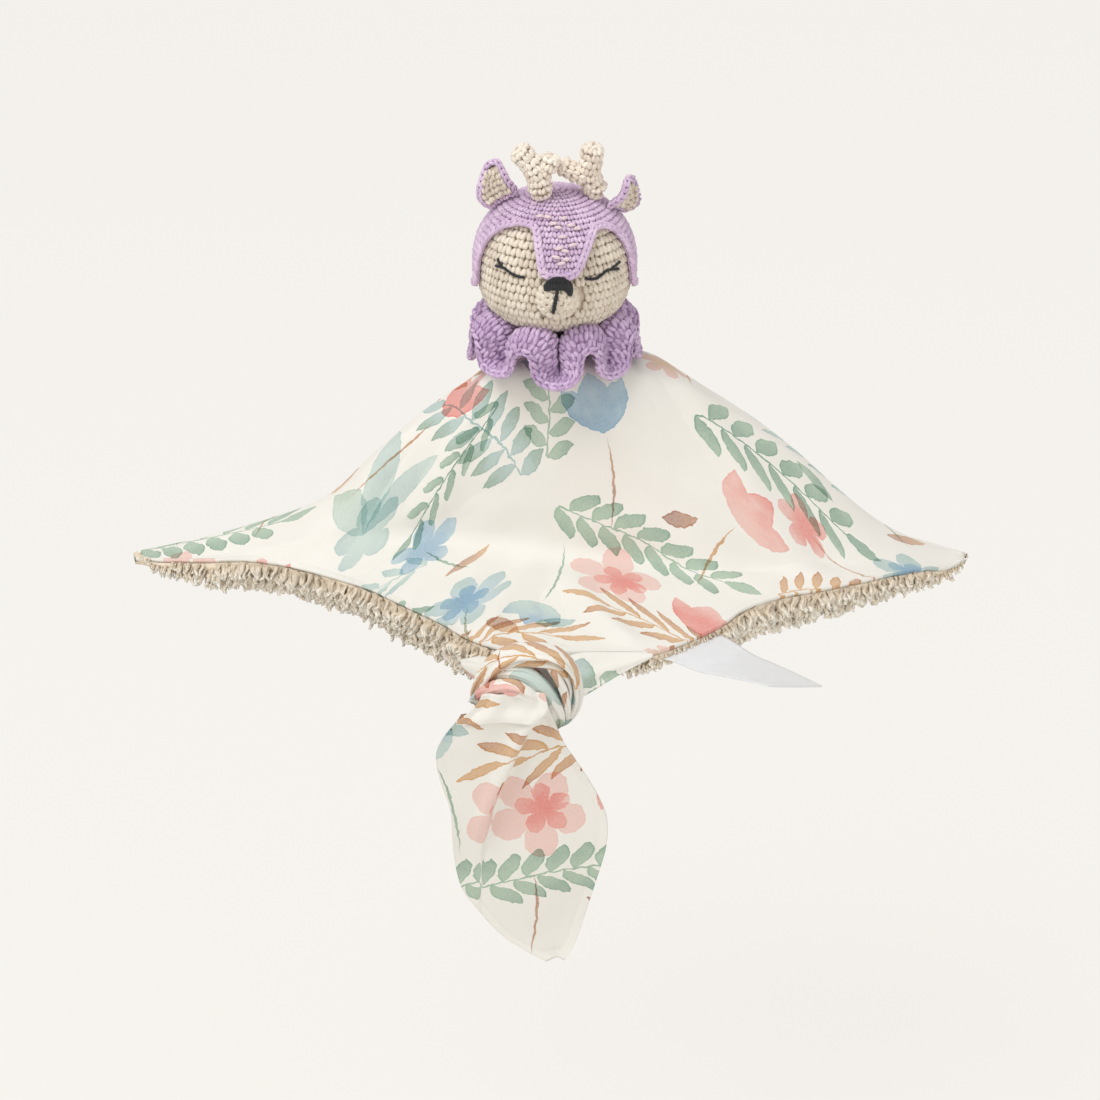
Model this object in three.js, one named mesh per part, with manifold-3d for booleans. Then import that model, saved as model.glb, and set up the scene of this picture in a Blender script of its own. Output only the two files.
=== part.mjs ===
// A comfort blanket: a crocheted fawn's head on a soft neck, sewn to the middle of a two-layer square of
// cloth, printed cotton over long-pile plush, with its front corner tied in an overhand knot.
// Millimetres, +Z up, the face towards -Y. The origin is on the flat underside of the cloth, under the neck.
import * as THREE from 'three';
import { mergeVertices } from 'three/addons/utils/BufferGeometryUtils.js';
import Module from 'manifold-3d';

const wasm = await Module();
wasm.setup();

// Clearances: what lies against its neighbour, what turns in its seat, and how far a cutting tool overruns
const touching_gap = 0.3;
const turning_gap = 0.4;
const cutter_overrun = 30;

// The cloth: how far its corners and hems lie from the neck, how high its crown stands over the hem,
// and the layers
const left_reach = 204;
const right_reach = 200;
const front_reach = 135;
const back_reach = 80;
const crown_height = 108;
const hem_top_height = 13;
const print_thickness = 1.2;
const pile_thickness = 10.5;
const hem_pile_thickness = 16;
const crown_pile_thickness = 8;
const tip_pile_thickness = 3;
const crown_flat_radius = 14;
const crown_blend_radius = 24;
const back_fold_height = 7;
const back_fold_count = 5;

// The knot in the front corner, and the tail that hangs from it
const knot_x = -11;
const knot_length = 22;
const knot_height = 8;
const knot_loop_radius = 17;
const knot_roll_radius = 8;
const knot_throat_width = 46;
const knot_throat_height = 11;
const tail_clearance = 2;
const tail_hinge_height = 3;
const tail_length = 123;
const tail_width = 76;
const tail_pile_thickness = 7;
const tail_fold_depth = 5;

// The sewn-in label
const label_width = 35;
const label_length = 51;
const label_thickness = 0.9;
const label_seam_height = 10;
const label_seam_clearance = 0.4;

// The neck: a padded base sewn to the cloth, and a ball of it that the head turns on
const neck_ball_radius = 12.5;
const neck_base_radius = 15;
const neck_base_height = 7;
const neck_floor = 0.8;
const neck_knit_wall = 2.2;
const neck_mouth_radius = 5;

// The collar
const collar_radius = 39;
const collar_root_height = 5;
const collar_shoulder_height = 13.5;
const collar_mean_height = 8;
const collar_wave_height = 7.5;
const collar_wave_count = 8;
const collar_wave_reach = 3;
const collar_thickness = 3;

// The head, a crocheted ball, and the lilac hood over it
const head_radius = 35.7;
const head_top_height = 32.5;
const head_bottom_height = 30;
const head_height_over_crown = 46.5;
const head_top_roundness = 2.1;
const head_bottom_roundness = 2.9;
const knit_thickness = 2.5;
const hood_thickness = 2.1;

// The face
const muzzle_radius = 10.2;
const muzzle_depth = 7;
const muzzle_x = 0.8;
const muzzle_drop = 6.4;
const nose_x = 1.3;
const nose_rise = 1.3;
const nose_half_width = 6.8;
const nose_half_height = 3.6;
const nose_depth = 2.8;
const mouth_lean = 2.4;
const thread_radius = 0.8;

// The ears and the antlers
const ear_height = 18.5;
const ear_width = 16;
const ear_knit_thickness = 2.4;
const ear_lining_thickness = 1.5;
const antler_radius = 4.8;
const tine_radius = 3.9;

// Heights that follow from the layers
const layers_at_crown = crown_pile_thickness + touching_gap + print_thickness;
const hem_level = layers_at_crown - crown_height;
const neck_seat = layers_at_crown + touching_gap;
const neck_pivot_z = neck_seat + neck_floor + turning_gap + neck_ball_radius;
const head_z = layers_at_crown + head_height_over_crown;

const lerp = (a, b, t) => a + (b - a) * t;
const smooth = (low, high, value) => {
  const t = Math.min(1, Math.max(0, (value - low) / (high - low)));
  return t * t * (3 - 2 * t);
};
const radians = THREE.MathUtils.degToRad;

// A smooth line through a table of [place share, value share] rows
function along(table, place) {
  const last = table.length - 1;
  let i = 0;
  while (i < last - 1 && place > table[i + 1][0]) i += 1;
  const t = Math.min(1, Math.max(0, (place - table[i][0]) / (table[i + 1][0] - table[i][0])));
  const slope = (k) => {
    const before = Math.max(0, k - 1);
    const after = Math.min(last, k + 1);
    return (table[after][1] - table[before][1]) / (table[after][0] - table[before][0]);
  };
  const span = table[i + 1][0] - table[i][0];
  const t2 = t * t;
  const t3 = t2 * t;
  return (
    (2 * t3 - 3 * t2 + 1) * table[i][1] +
    (t3 - 2 * t2 + t) * span * slope(i) +
    (3 * t2 - 2 * t3) * table[i + 1][1] +
    (t3 - t2) * span * slope(i + 1)
  );
}

// A closed body through a row of rings of points, each ring of as many points, capped at both ends.
// A sheet's rings run out along its face and come back along its other one, from the point that
// turns_back_at names: both faces are then split into triangles the same way and stay parallel.
function body_through(rings, turns_back_at = Infinity) {
  const around = rings[0].length;
  const positions = rings.flat().flatMap((p) => [p.x, p.y, p.z]);
  const index = [];
  for (let r = 0; r < rings.length - 1; r += 1) {
    for (let i = 0; i < around; i += 1) {
      const j = (i + 1) % around;
      const a = r * around + i;
      const b = r * around + j;
      if (i < turns_back_at) index.push(a, b, b + around, a, b + around, a + around);
      else index.push(a, b, a + around, b, b + around, a + around);
    }
  }
  [0, rings.length - 1].forEach((r) => {
    const middle = rings[r].reduce((sum, p) => sum.clone().add(p)).multiplyScalar(1 / around);
    positions.push(middle.x, middle.y, middle.z);
    const centre = positions.length / 3 - 1;
    for (let i = 0; i < around; i += 1) {
      const a = r * around + i;
      const b = r * around + ((i + 1) % around);
      index.push(...(r === 0 ? [centre, b, a] : [centre, a, b]));
    }
  });
  const geometry = new THREE.BufferGeometry();
  geometry.setAttribute('position', new THREE.Float32BufferAttribute(positions, 3));
  geometry.setIndex(index);
  return faces_out(geometry);
}

// The faces turned to point out, whichever way the rings ran
function faces_out(geometry) {
  const place = geometry.getAttribute('position');
  const index = geometry.getIndex().array;
  const corner = [new THREE.Vector3(), new THREE.Vector3(), new THREE.Vector3()];
  let six_volumes = 0;
  for (let i = 0; i < index.length; i += 3) {
    corner.forEach((v, k) => v.fromBufferAttribute(place, index[i + k]));
    six_volumes += corner[0].dot(corner[1].clone().cross(corner[2]));
  }
  if (six_volumes < 0) {
    for (let i = 0; i < index.length; i += 3) [index[i], index[i + 1]] = [index[i + 1], index[i]];
  }
  return geometry;
}

// Joins and cuts
function solid(geometry) {
  const bare = geometry.clone();
  bare.deleteAttribute('normal');
  bare.deleteAttribute('uv');
  const merged = mergeVertices(bare);
  return new wasm.Manifold(
    new wasm.Mesh({
      numProp: 3,
      vertProperties: new Float32Array(merged.getAttribute('position').array),
      triVerts: new Uint32Array(merged.getIndex().array),
    }),
  );
}
function geometry_of(shape) {
  const mesh = shape.getMesh();
  const geometry = new THREE.BufferGeometry();
  geometry.setAttribute('position', new THREE.Float32BufferAttribute(mesh.vertProperties, 3));
  geometry.setIndex(Array.from(mesh.triVerts));
  return geometry;
}

// A ball with its poles up and down, drawn out or flattened along each axis
function ball(half_x, half_y, half_z, x, y, z, around = 32, up = 20) {
  const geometry = new THREE.SphereGeometry(1, around, up);
  geometry.rotateX(Math.PI / 2);
  geometry.scale(half_x, half_y, half_z);
  geometry.translate(x, y, z);
  return geometry;
}

// A round rope of changing thickness along a row of points, with rounded ends
function rope(points, radius_at, steps, sides) {
  const path = new THREE.CatmullRomCurve3(points);
  const rings = [];
  let across = new THREE.Vector3(0, 1, 0);
  for (let s = 0; s <= steps; s += 1) {
    const t = s / steps;
    const heading = path.getTangentAt(t);
    across = across.clone().addScaledVector(heading, -across.dot(heading)).normalize();
    const other = heading.clone().cross(across);
    const middle = path.getPointAt(t);
    const radius = radius_at(t);
    rings.push(
      Array.from({ length: sides }, (_, k) => {
        const turn = (k / sides) * 2 * Math.PI;
        return middle
          .clone()
          .addScaledVector(across, radius * Math.cos(turn))
          .addScaledVector(other, radius * Math.sin(turn));
      }),
    );
  }
  return body_through(rings);
}

const group = new THREE.Group();
const lilac = '#c4a7cb';
const cream = '#ddd3c1';
const beige = '#cdbda6';
const cotton = '#eeebe2';
const black_thread = '#1d1d21';
function piece(name, geometry, colour, roughness = 0.9) {
  const material = new THREE.MeshStandardMaterial({ color: colour, roughness, metalness: 0 });
  const mesh = new THREE.Mesh(geometry, material);
  mesh.name = name;
  group.add(mesh);
  return mesh;
}

// THE CLOTH
// The ridge falls from the crown to both side corners; a steep face below it ends in a crease, and a flat
// part runs on from there to the hem. Each table gives a share against the place between the left corner
// (-1) and the right one (1): heights as shares of the crown's, depths as shares of the front or back reach.
const ridge_height_shares = [
  [-1, 0.04], [-0.94, 0.058], [-0.85, 0.1], [-0.75, 0.148], [-0.654, 0.196], [-0.582, 0.251],
  [-0.509, 0.345], [-0.436, 0.493], [-0.363, 0.629], [-0.268, 0.763], [-0.174, 0.89], [-0.1, 0.99],
  [-0.06, 1], [0.08, 1], [0.202, 0.973], [0.298, 0.878], [0.395, 0.773], [0.492, 0.653],
  [0.59, 0.507], [0.69, 0.335], [0.79, 0.186], [0.892, 0.09], [0.95, 0.056], [1, 0.04],
];
const shoulder_shares = [
  [-1, 0.004], [-0.8, 0.02], [-0.4, 0.05], [-0.2, 0.08], [-0.08, 0.125], [0.08, 0.125], [0.2, 0.11],
  [0.4, 0.07], [0.8, 0.02], [1, 0.004],
];
const front_crease_shares = [
  [-1, 0.03], [-0.9, 0.075], [-0.7, 0.15], [-0.58, 0.185], [-0.36, 0.2], [-0.13, 0.24], [0.1, 0.3],
  [0.35, 0.37], [0.55, 0.31], [0.75, 0.22], [0.9, 0.11], [1, 0.03],
];
const back_crease_shares = [
  [-1, 0.02], [-0.8, 0.09], [-0.6, 0.2], [-0.4, 0.34], [0, 0.42], [0.4, 0.36], [0.65, 0.24],
  [0.8, 0.12], [1, 0.02],
];
const crease_height_shares = [
  [-1, 0.039], [-0.94, 0.05], [-0.8, 0.095], [-0.6, 0.185], [-0.36, 0.215], [-0.13, 0.195], [0.1, 0.185],
  [0.35, 0.165], [0.6, 0.15], [0.8, 0.12], [0.93, 0.058], [1, 0.039],
];
const hem_height_shares = [
  [-1, 0.038], [-0.93, 0.06], [-0.84, 0.09], [-0.72, 0.12], [0.76, 0.12], [0.88, 0.09], [0.95, 0.055],
  [1, 0.038],
];
const front_hem_shares = [
  [-1, 0.06], [-0.93, 0.12], [-0.82, 0.185], [-0.686, 0.235], [-0.6, 0.295], [-0.44, 0.46], [-0.32, 0.66],
  [-0.25, 0.81], [-0.19, 0.91], [-0.1, 0.925], [0.06, 0.93], [0.12, 0.935], [0.19, 0.945], [0.26, 0.895],
  [0.375, 0.74], [0.435, 0.615], [0.52, 0.52], [0.61, 0.465], [0.77, 0.355], [0.89, 0.235],
  [0.95, 0.175], [1, 0.075],
];
const back_hem_shares = [
  [-1, -0.03], [-0.9, 0.06], [-0.8, 0.13], [-0.7, 0.2], [-0.6, 0.34], [-0.5, 0.52], [-0.4, 0.72], [-0.2, 0.94],
  [0, 1], [0.2, 0.95], [0.4, 0.83], [0.55, 0.66], [0.65, 0.46], [0.75, 0.27], [0.85, 0.15], [0.92, 0.07],
  [1, -0.05],
];
const back_hem_height_shares = [
  [-1, 0.036], [-0.9, 0.04], [-0.75, 0.05], [-0.6, 0.085], [-0.5, 0.12], [0.5, 0.12], [0.65, 0.11],
  [0.8, 0.06], [0.9, 0.04], [1, 0.036],
];
const pile_shares = [[-1, 0], [-0.9, 0.4], [-0.72, 1], [0.76, 1], [0.92, 0.4], [1, 0]];
// The tips lie a little in front of the neck
const tip_forward_share = 0.05;
// A cross section from ridge to hem, by [place share, depth share, height share]: the first three stand
// between ridge and crease, the rest between crease and hem
const steep_part_shares = [[0, 0, 0], [0.14, 1, 0.03], [0.28, 0.36, 0.26], [0.46, 0.78, 0.72], [0.6, 1, 0.985]];
const flat_part_shares = [[0.72, 0.26, 0.3], [0.86, 0.62, 0.7], [1, 1, 1]];

// The top of the cloth: across runs from -1 at the left corner to 1, down from -1 at the front hem to 1
function cloth_point(across, down) {
  const front = down < 0;
  const reach = front ? -front_reach : back_reach;
  const x = across * (across < 0 ? left_reach : right_reach);
  const shoulder = along(shoulder_shares, across) * front_reach * (front ? -1 : 1);
  const crease = reach * along(front ? front_crease_shares : back_crease_shares, across);
  const hem = reach * along(front ? front_hem_shares : back_hem_shares, across);
  const ridge = crown_height * along(ridge_height_shares, across);
  const fold = crown_height * Math.min(along(crease_height_shares, across), along(ridge_height_shares, across));
  const edge = crown_height * along(front ? hem_height_shares : back_hem_height_shares, across);
  const ridge_y = -front_reach * tip_forward_share * Math.abs(across) ** 3;
  const depths = [];
  const heights = [];
  steep_part_shares.forEach(([place, depth, height], row) => {
    const y = row < 2 ? ridge_y + shoulder * depth : ridge_y + lerp(shoulder, crease, depth);
    depths.push([place, y]);
    heights.push([place, lerp(ridge, fold, height)]);
  });
  flat_part_shares.forEach(([place, depth, height]) => {
    depths.push([place, lerp(ridge_y + crease, hem, depth)]);
    heights.push([place, lerp(fold, edge, height)]);
  });
  const place = Math.abs(down);
  const y = along(depths, place);
  let z = along(heights, place);
  if (!front) {
    const slack = smooth(0.5, 1, place) * (1 - Math.abs(across));
    z += back_fold_height * slack * Math.sin(across * back_fold_count * Math.PI) ** 2;
  }
  const flatness = smooth(crown_blend_radius, crown_flat_radius, Math.hypot(x, y));
  return new THREE.Vector3(x, y, hem_level + lerp(z, crown_height, flatness));
}
function cloth_normal(across, down) {
  const step = 0.004;
  const ends = [Math.max(-1, across - step), Math.min(1, across + step)];
  const rows = [Math.max(-1, down - step), Math.min(1, down + step)];
  const run = cloth_point(ends[1], down).sub(cloth_point(ends[0], down));
  const fall = cloth_point(across, rows[1]).sub(cloth_point(across, rows[0]));
  return run.cross(fall).normalize();
}
// Stations across the cloth and rows down it, closer where it bends
const cloth_stations = 26;
const row_shares = [-1, -0.86, -0.73, -0.62, -0.52, -0.42, -0.33, -0.24, -0.16, -0.08, 0,
  0.08, 0.16, 0.24, 0.33, 0.42, 0.52, 0.62, 0.73, 0.86, 1];
function layer(depth_at) {
  const rings = [];
  for (let s = 0; s <= cloth_stations; s += 1) {
    const across = lerp(-1, 1, s / cloth_stations);
    const upper = [];
    const lower = [];
    row_shares.forEach((down) => {
      const point = cloth_point(across, down);
      const normal = cloth_normal(across, down);
      const [top, bottom] = depth_at(across, point, down);
      upper.push(point.clone().addScaledVector(normal, -top));
      lower.push(point.clone().addScaledVector(normal, -bottom));
    });
    rings.push([...upper, ...lower.reverse()]);
  }
  return body_through(rings, row_shares.length);
}
const backing_top = print_thickness + touching_gap;
piece('blanket_top', layer(() => [0, print_thickness]), cotton, 0.8);
piece(
  'blanket_backing',
  layer((across, point, down) => {
    const near_crown = smooth(2 * crown_blend_radius, crown_flat_radius, Math.hypot(point.x, point.y));
    const full = lerp(pile_thickness, hem_pile_thickness, smooth(0.72, 1, -down));
    const spread = lerp(tip_pile_thickness, full, along(pile_shares, across));
    return [backing_top, backing_top + lerp(spread, crown_pile_thickness, near_crown)];
  }),
  beige,
  0.95,
);

// THE KNOT
// The front corner gathers into a throat and passes through a loop of itself
const throat_seat_share = 0.93;
const throat_y = -front_reach * throat_seat_share - touching_gap;
const knot_y = throat_y - knot_length;
const knot_z = hem_level + knot_height;
const knot_lean_share = 0.25;
const tail_half_depth = (print_thickness + touching_gap + tail_pile_thickness) / 2;
const tail_hang_y = knot_y - knot_loop_radius * knot_lean_share - knot_roll_radius - tail_half_depth - tail_clearance;
const knot_path = [
  [0, throat_y, hem_level + hem_top_height / 2 + touching_gap, knot_throat_width / 2, knot_throat_height / 2],
  [0, lerp(throat_y, knot_y, 0.45), knot_z + touching_gap, knot_throat_width * 0.36, knot_throat_height * 0.75],
  [0, knot_y, knot_z, knot_loop_radius * 0.8, knot_loop_radius * 0.8],
  [0, lerp(knot_y, tail_hang_y, 0.85), knot_z + knot_roll_radius * 0.6, knot_loop_radius * 0.8, knot_roll_radius * 0.6],
];
const gathered = body_through(
  knot_path.map(([x, y, z, half_width, half_height]) =>
    Array.from({ length: 16 }, (_, k) => {
      const turn = (k / 16) * 2 * Math.PI;
      return new THREE.Vector3(knot_x + x + half_width * Math.cos(turn), y, z + half_height * Math.sin(turn));
    }),
  ),
);
// The loop stands facing the viewer, leaning back at the top, fuller where the cloth bunches
const loop_sides = 24;
const loop_rings = Array.from({ length: loop_sides }, (_, k) => {
  const turn = (k / loop_sides) * 2 * Math.PI;
  const bunch = 1 + 0.12 * Math.cos(turn - 0.6) + 0.06 * Math.sin(3 * turn);
  const out = new THREE.Vector3(Math.cos(turn), knot_lean_share * Math.sin(turn), Math.sin(turn));
  const middle = new THREE.Vector3(knot_x, knot_y, knot_z).addScaledVector(out, knot_loop_radius);
  return Array.from({ length: 10 }, (_, j) => {
    const roll = (j / 10) * 2 * Math.PI;
    return middle
      .clone()
      .addScaledVector(out, knot_roll_radius * bunch * Math.cos(roll))
      .add(new THREE.Vector3(0, knot_roll_radius * bunch * Math.sin(roll), 0));
  });
});
function closed_loop(rings) {
  const around = rings[0].length;
  const positions = rings.flat().flatMap((p) => [p.x, p.y, p.z]);
  const index = [];
  rings.forEach((_, r) => {
    const next = (r + 1) % rings.length;
    for (let i = 0; i < around; i += 1) {
      const j = (i + 1) % around;
      index.push(r * around + i, r * around + j, next * around + j);
      index.push(r * around + i, next * around + j, next * around + i);
    }
  });
  const geometry = new THREE.BufferGeometry();
  geometry.setAttribute('position', new THREE.Float32BufferAttribute(positions, 3));
  geometry.setIndex(index);
  return faces_out(geometry);
}
// Below the loop the cloth comes out as a flat gathered stub, which ends over the tail's rounded top
const tail_hinge_z = hem_level + tail_hinge_height;
const stub_end = tail_hinge_z + tail_half_depth + turning_gap;
const stub_half_width = tail_width * 0.24;
const stub = body_through(
  [
    [knot_z + knot_roll_radius, stub_half_width * 0.6, tail_half_depth * 0.5],
    [lerp(knot_z + knot_roll_radius, stub_end, 0.5), stub_half_width * 0.9, tail_half_depth * 1.1],
    [stub_end, stub_half_width, tail_half_depth],
  ].map(([z, half_width, half_depth]) =>
    Array.from({ length: 16 }, (_, k) => {
      const turn = (k / 16) * 2 * Math.PI;
      return new THREE.Vector3(knot_x + half_width * Math.cos(turn), tail_hang_y + half_depth * Math.sin(turn), z);
    }),
  ),
);
piece('corner_knot', geometry_of(solid(gathered).add(solid(closed_loop(loop_rings))).add(solid(stub))), cotton, 0.8);

// THE TAIL
// Its left and right edges by [place share down the tail, share of its width from its middle], and the
// fold that its left half lays over its right one
const tail_left_shares = [
  [0, 0.3], [0.06, 0.41], [0.11, 0.5], [0.18, 0.54], [0.26, 0.5], [0.36, 0.46], [0.6, 0.42], [0.74, 0.34],
  [0.85, 0.19], [0.95, 0.04], [1, -0.08],
];
const tail_right_shares = [
  [0, 0.21], [0.06, 0.235], [0.14, 0.29], [0.26, 0.38], [0.36, 0.435], [0.45, 0.455], [0.6, 0.41],
  [0.74, 0.36], [0.85, 0.31], [0.95, 0.265], [1, 0.2],
];
const tail_fold_shares = [[0, 0.1], [0.3, -0.1], [0.55, -0.26], [1, -0.3]];
function tail_point(side, place, depth) {
  const left = -along(tail_left_shares, place) * tail_width;
  const right = along(tail_right_shares, place) * tail_width;
  const x = lerp(left, right, side);
  const fold_x = along(tail_fold_shares, place) * tail_width;
  const lap = smooth(fold_x + tail_width * 0.08, fold_x - tail_width * 0.02, x);
  const fading = smooth(0.02, 0.22, place) * smooth(0.8, 0.45, place);
  const y = tail_hang_y + depth - tail_fold_depth * fading * (lap - 0.5);
  return new THREE.Vector3(knot_x + x, y, tail_hinge_z - place * tail_length);
}
const tail_rows = 14;
const tail_columns = 10;
function tail_layer(front_depth, back_depth) {
  const rings = [];
  // The top is rounded over, so the tail can swing under the knot
  const cap_steps = 4;
  for (let c = 0; c < cap_steps; c += 1) {
    const lift = Math.cos((c / cap_steps) * (Math.PI / 2));
    const rise = tail_half_depth * lift;
    const half = Math.sqrt(Math.max(0, tail_half_depth ** 2 - rise ** 2));
    const front = Math.max(-half, Math.min(half, front_depth));
    const back = Math.max(-half, Math.min(half, back_depth));
    rings.push({ place: 0, rise, front, back });
  }
  for (let r = 0; r <= tail_rows; r += 1) {
    rings.push({ place: r / tail_rows, rise: 0, front: front_depth, back: back_depth });
  }
  const useful = rings.filter(({ front, back }) => back - front > touching_gap);
  return body_through(
    useful.map(({ place, rise, front, back }) => {
      const raised = new THREE.Vector3(0, 0, rise);
      const near = Array.from({ length: tail_columns + 1 }, (_, k) =>
        tail_point(k / tail_columns, place, front).add(raised));
      const far = Array.from({ length: tail_columns + 1 }, (_, k) =>
        tail_point(1 - k / tail_columns, place, back).add(raised));
      return [...near, ...far];
    }),
    tail_columns + 1,
  );
}
piece('tail_print', tail_layer(-tail_half_depth, print_thickness - tail_half_depth), cotton, 0.8);
piece('tail_plush', tail_layer(print_thickness + touching_gap - tail_half_depth, tail_half_depth), beige, 0.95);

// THE LABEL
// A bare strip sewn to the right front hem: it stands out from the seam, sags and twists a little
const label_seam_shares = [0.247, 0.367];
const hem_points = label_seam_shares.map((across) => cloth_point(across, -1));
const off_hem = hem_points[1].clone().sub(hem_points[0]).cross(new THREE.Vector3(0, 0, 1)).setZ(0)
  .setLength(label_seam_clearance + label_thickness / 2);
const label_seam = hem_points.map((at) => at.clone().add(off_hem).setZ(hem_level + label_seam_height));
const label_heading_degrees = -26;
const label_sag_share = 0.08;
const label_twist_degrees = -21;
const label_rings = [];
const seam_line = label_seam[1].clone().sub(label_seam[0]).normalize();
const seam_middle = label_seam[0].clone().add(label_seam[1]).multiplyScalar(0.5);
const label_steps = 6;
for (let s = 0; s <= label_steps; s += 1) {
  const t = s / label_steps;
  const heading = new THREE.Vector3(1, 0, 0).applyAxisAngle(new THREE.Vector3(0, 0, 1), radians(label_heading_degrees));
  const middle = seam_middle.clone().addScaledVector(heading, label_length * t);
  middle.z -= label_length * label_sag_share * t * t;
  const across = seam_line.clone().applyAxisAngle(heading, radians(label_twist_degrees) * t);
  const up = heading.clone().cross(across).normalize();
  const corner = (side, face) => middle.clone()
    .addScaledVector(across, (side * label_width) / 2)
    .addScaledVector(up, (face * label_thickness) / 2);
  label_rings.push([corner(-1, -1), corner(0, -1), corner(1, -1), corner(1, 1), corner(0, 1), corner(-1, 1)]);
}
piece('side_label', body_through(label_rings), '#f2f1ec', 0.7);

// THE NECK
// The base is a padded round with a hollow top; the ball turns in it, and the head turns on the ball
const pivot = new THREE.Vector3(0, 0, neck_pivot_z);
const neck_base_body = new THREE.LatheGeometry(
  [
    [0, neck_seat], [neck_base_radius * 0.85, neck_seat], [neck_base_radius, neck_seat + neck_base_height * 0.3],
    [neck_base_radius, neck_seat + neck_base_height * 0.8],
    [neck_base_radius * 0.9, neck_seat + neck_base_height], [0, neck_seat + neck_base_height],
  ].map(([r, z]) => new THREE.Vector2(r, z)),
  28,
).rotateX(Math.PI / 2);
const ball_room = neck_ball_radius + turning_gap;
const room_for_ball = solid(ball(ball_room, ball_room, ball_room, 0, 0, neck_pivot_z, 24, 14));
piece('neck_base', geometry_of(solid(neck_base_body).subtract(room_for_ball)), lilac);
const core_radius = neck_ball_radius - neck_knit_wall - touching_gap;
const knit_room = neck_ball_radius - neck_knit_wall;
const mouth = new THREE.CylinderGeometry(neck_mouth_radius, neck_mouth_radius, neck_ball_radius * 2, 16)
  .rotateX(Math.PI / 2)
  .translate(0, 0, neck_pivot_z + neck_ball_radius);
const around_ball = 20;
const up_ball = 12;
piece(
  'neck_knit',
  geometry_of(
    solid(ball(neck_ball_radius, neck_ball_radius, neck_ball_radius, 0, 0, neck_pivot_z, around_ball, up_ball))
      .subtract(solid(ball(knit_room, knit_room, knit_room, 0, 0, neck_pivot_z, around_ball, up_ball)))
      .subtract(solid(mouth)),
  ),
  cream,
);
piece('neck_core', ball(core_radius, core_radius, core_radius, 0, 0, neck_pivot_z, 16, 10), '#f0efe9');

// THE COLLAR
// A crocheted frill, flat where it is worked onto the neck and waved at its free edge
const collar_inner = neck_base_radius + touching_gap;
const collar_around = 80;
const collar_rows_shares = [0, 0.24, 0.5, 0.76, 1];
// It rises from the base's side to a shoulder close under the head, and falls from there to its edge
const collar_shoulder_share = 0.24;
const collar_rings = Array.from({ length: collar_around }, (_, k) => {
  const turn = (k / collar_around) * 2 * Math.PI;
  const section = (face) => collar_rows_shares.map((place) => {
    const radius = lerp(collar_inner, collar_radius, place);
    const wave = -Math.cos(collar_wave_count * (turn + Math.PI / 2)) * smooth(0, 1, place);
    const level = place < collar_shoulder_share
      ? lerp(collar_root_height, collar_shoulder_height, place / collar_shoulder_share)
      : lerp(collar_shoulder_height, collar_mean_height, smooth(collar_shoulder_share, 1, place));
    const height = layers_at_crown + level + collar_wave_height * wave;
    const reach = radius - collar_wave_reach * wave * place;
    return new THREE.Vector3(
      reach * Math.cos(turn),
      reach * Math.sin(turn),
      height + (face * collar_thickness) / 2,
    );
  });
  return [...section(1), ...section(-1).reverse()];
});
piece('collar_ruffle', closed_loop(collar_rings), lilac);

// THE HEAD
// A crocheted ball, stuffed, rather fuller in the cheeks than at the crown, and open below for the neck
const roundness = (height) => (height < 0 ? head_bottom_roundness : head_top_roundness);
const half_height = (height) => (height < 0 ? head_bottom_height : head_top_height);
const head_radius_share = (height) => Math.max(0, 1 - Math.abs(height) ** roundness(height)) ** (1 / roundness(height));
function head_ball(grow, around = 32, up = 18) {
  const profile = Array.from({ length: up + 1 }, (_, k) => {
    const angle = (k / up - 0.5) * Math.PI;
    const height = Math.sign(angle) * Math.abs(Math.sin(angle)) ** (2 / roundness(angle));
    const radius = k === 0 || k === up ? 0 : head_radius_share(height);
    return new THREE.Vector2(radius * (head_radius + grow), height * (half_height(height) + grow));
  });
  return new THREE.LatheGeometry(profile, around).rotateX(Math.PI / 2).translate(0, 0, head_z);
}
piece(
  'head_shell',
  geometry_of(solid(head_ball(0)).subtract(solid(head_ball(-knit_thickness, 20, 12))).subtract(room_for_ball)),
  cream,
);
piece(
  'head_stuffing',
  geometry_of(solid(head_ball(-knit_thickness - 3 * touching_gap, 20, 12)).subtract(room_for_ball)),
  '#f4f3ee',
);

// THE HOOD
// A lilac cap over the top, sides and back, with two arched windows for the cheeks and eyes and a blaze
// between them that tapers to the nose. Outlines as shares of the head's radius, seen from the front.
const left_window_shares = [
  [-0.15, 0.15], [-0.19, 0.43], [-0.225, 0.66], [-0.29, 0.7], [-0.44, 0.7], [-0.64, 0.63], [-0.8, 0.5],
  [-0.895, 0.36], [-0.965, 0.16], [-0.99, -0.08], [-1, -0.4], [-0.15, -0.4],
];
const right_window_shares = [
  [0.28, 0.16], [0.38, 0.41], [0.465, 0.61], [0.5, 0.65], [0.6, 0.645], [0.76, 0.55], [0.88, 0.39],
  [0.955, 0.19], [0.985, -0.05], [1, -0.4], [0.28, -0.4],
];
const below_blaze_shares = [[-0.16, 0.19], [0, 0.165], [0.12, 0.165], [0.3, 0.2], [0.3, -0.4], [-0.16, -0.4]];
function window_through(table) {
  const shape = new THREE.Shape(table.map(([x, z]) => new THREE.Vector2(x * head_radius, z * head_radius)));
  return solid(
    new THREE.ExtrudeGeometry(shape, { depth: head_radius + cutter_overrun, bevelEnabled: false })
      .rotateX(Math.PI / 2)
      .translate(0, 0, head_z),
  );
}
const hood_room = touching_gap;
const rim_drop = 6;
const rim_tilt_degrees = -17;
const under_rim = new THREE.BoxGeometry(head_radius * 4, head_radius * 4, head_radius * 2)
  .translate(0, 0, -head_radius)
  .rotateX(radians(rim_tilt_degrees))
  .translate(0, -head_radius * 0.4, head_z - rim_drop);
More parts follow.
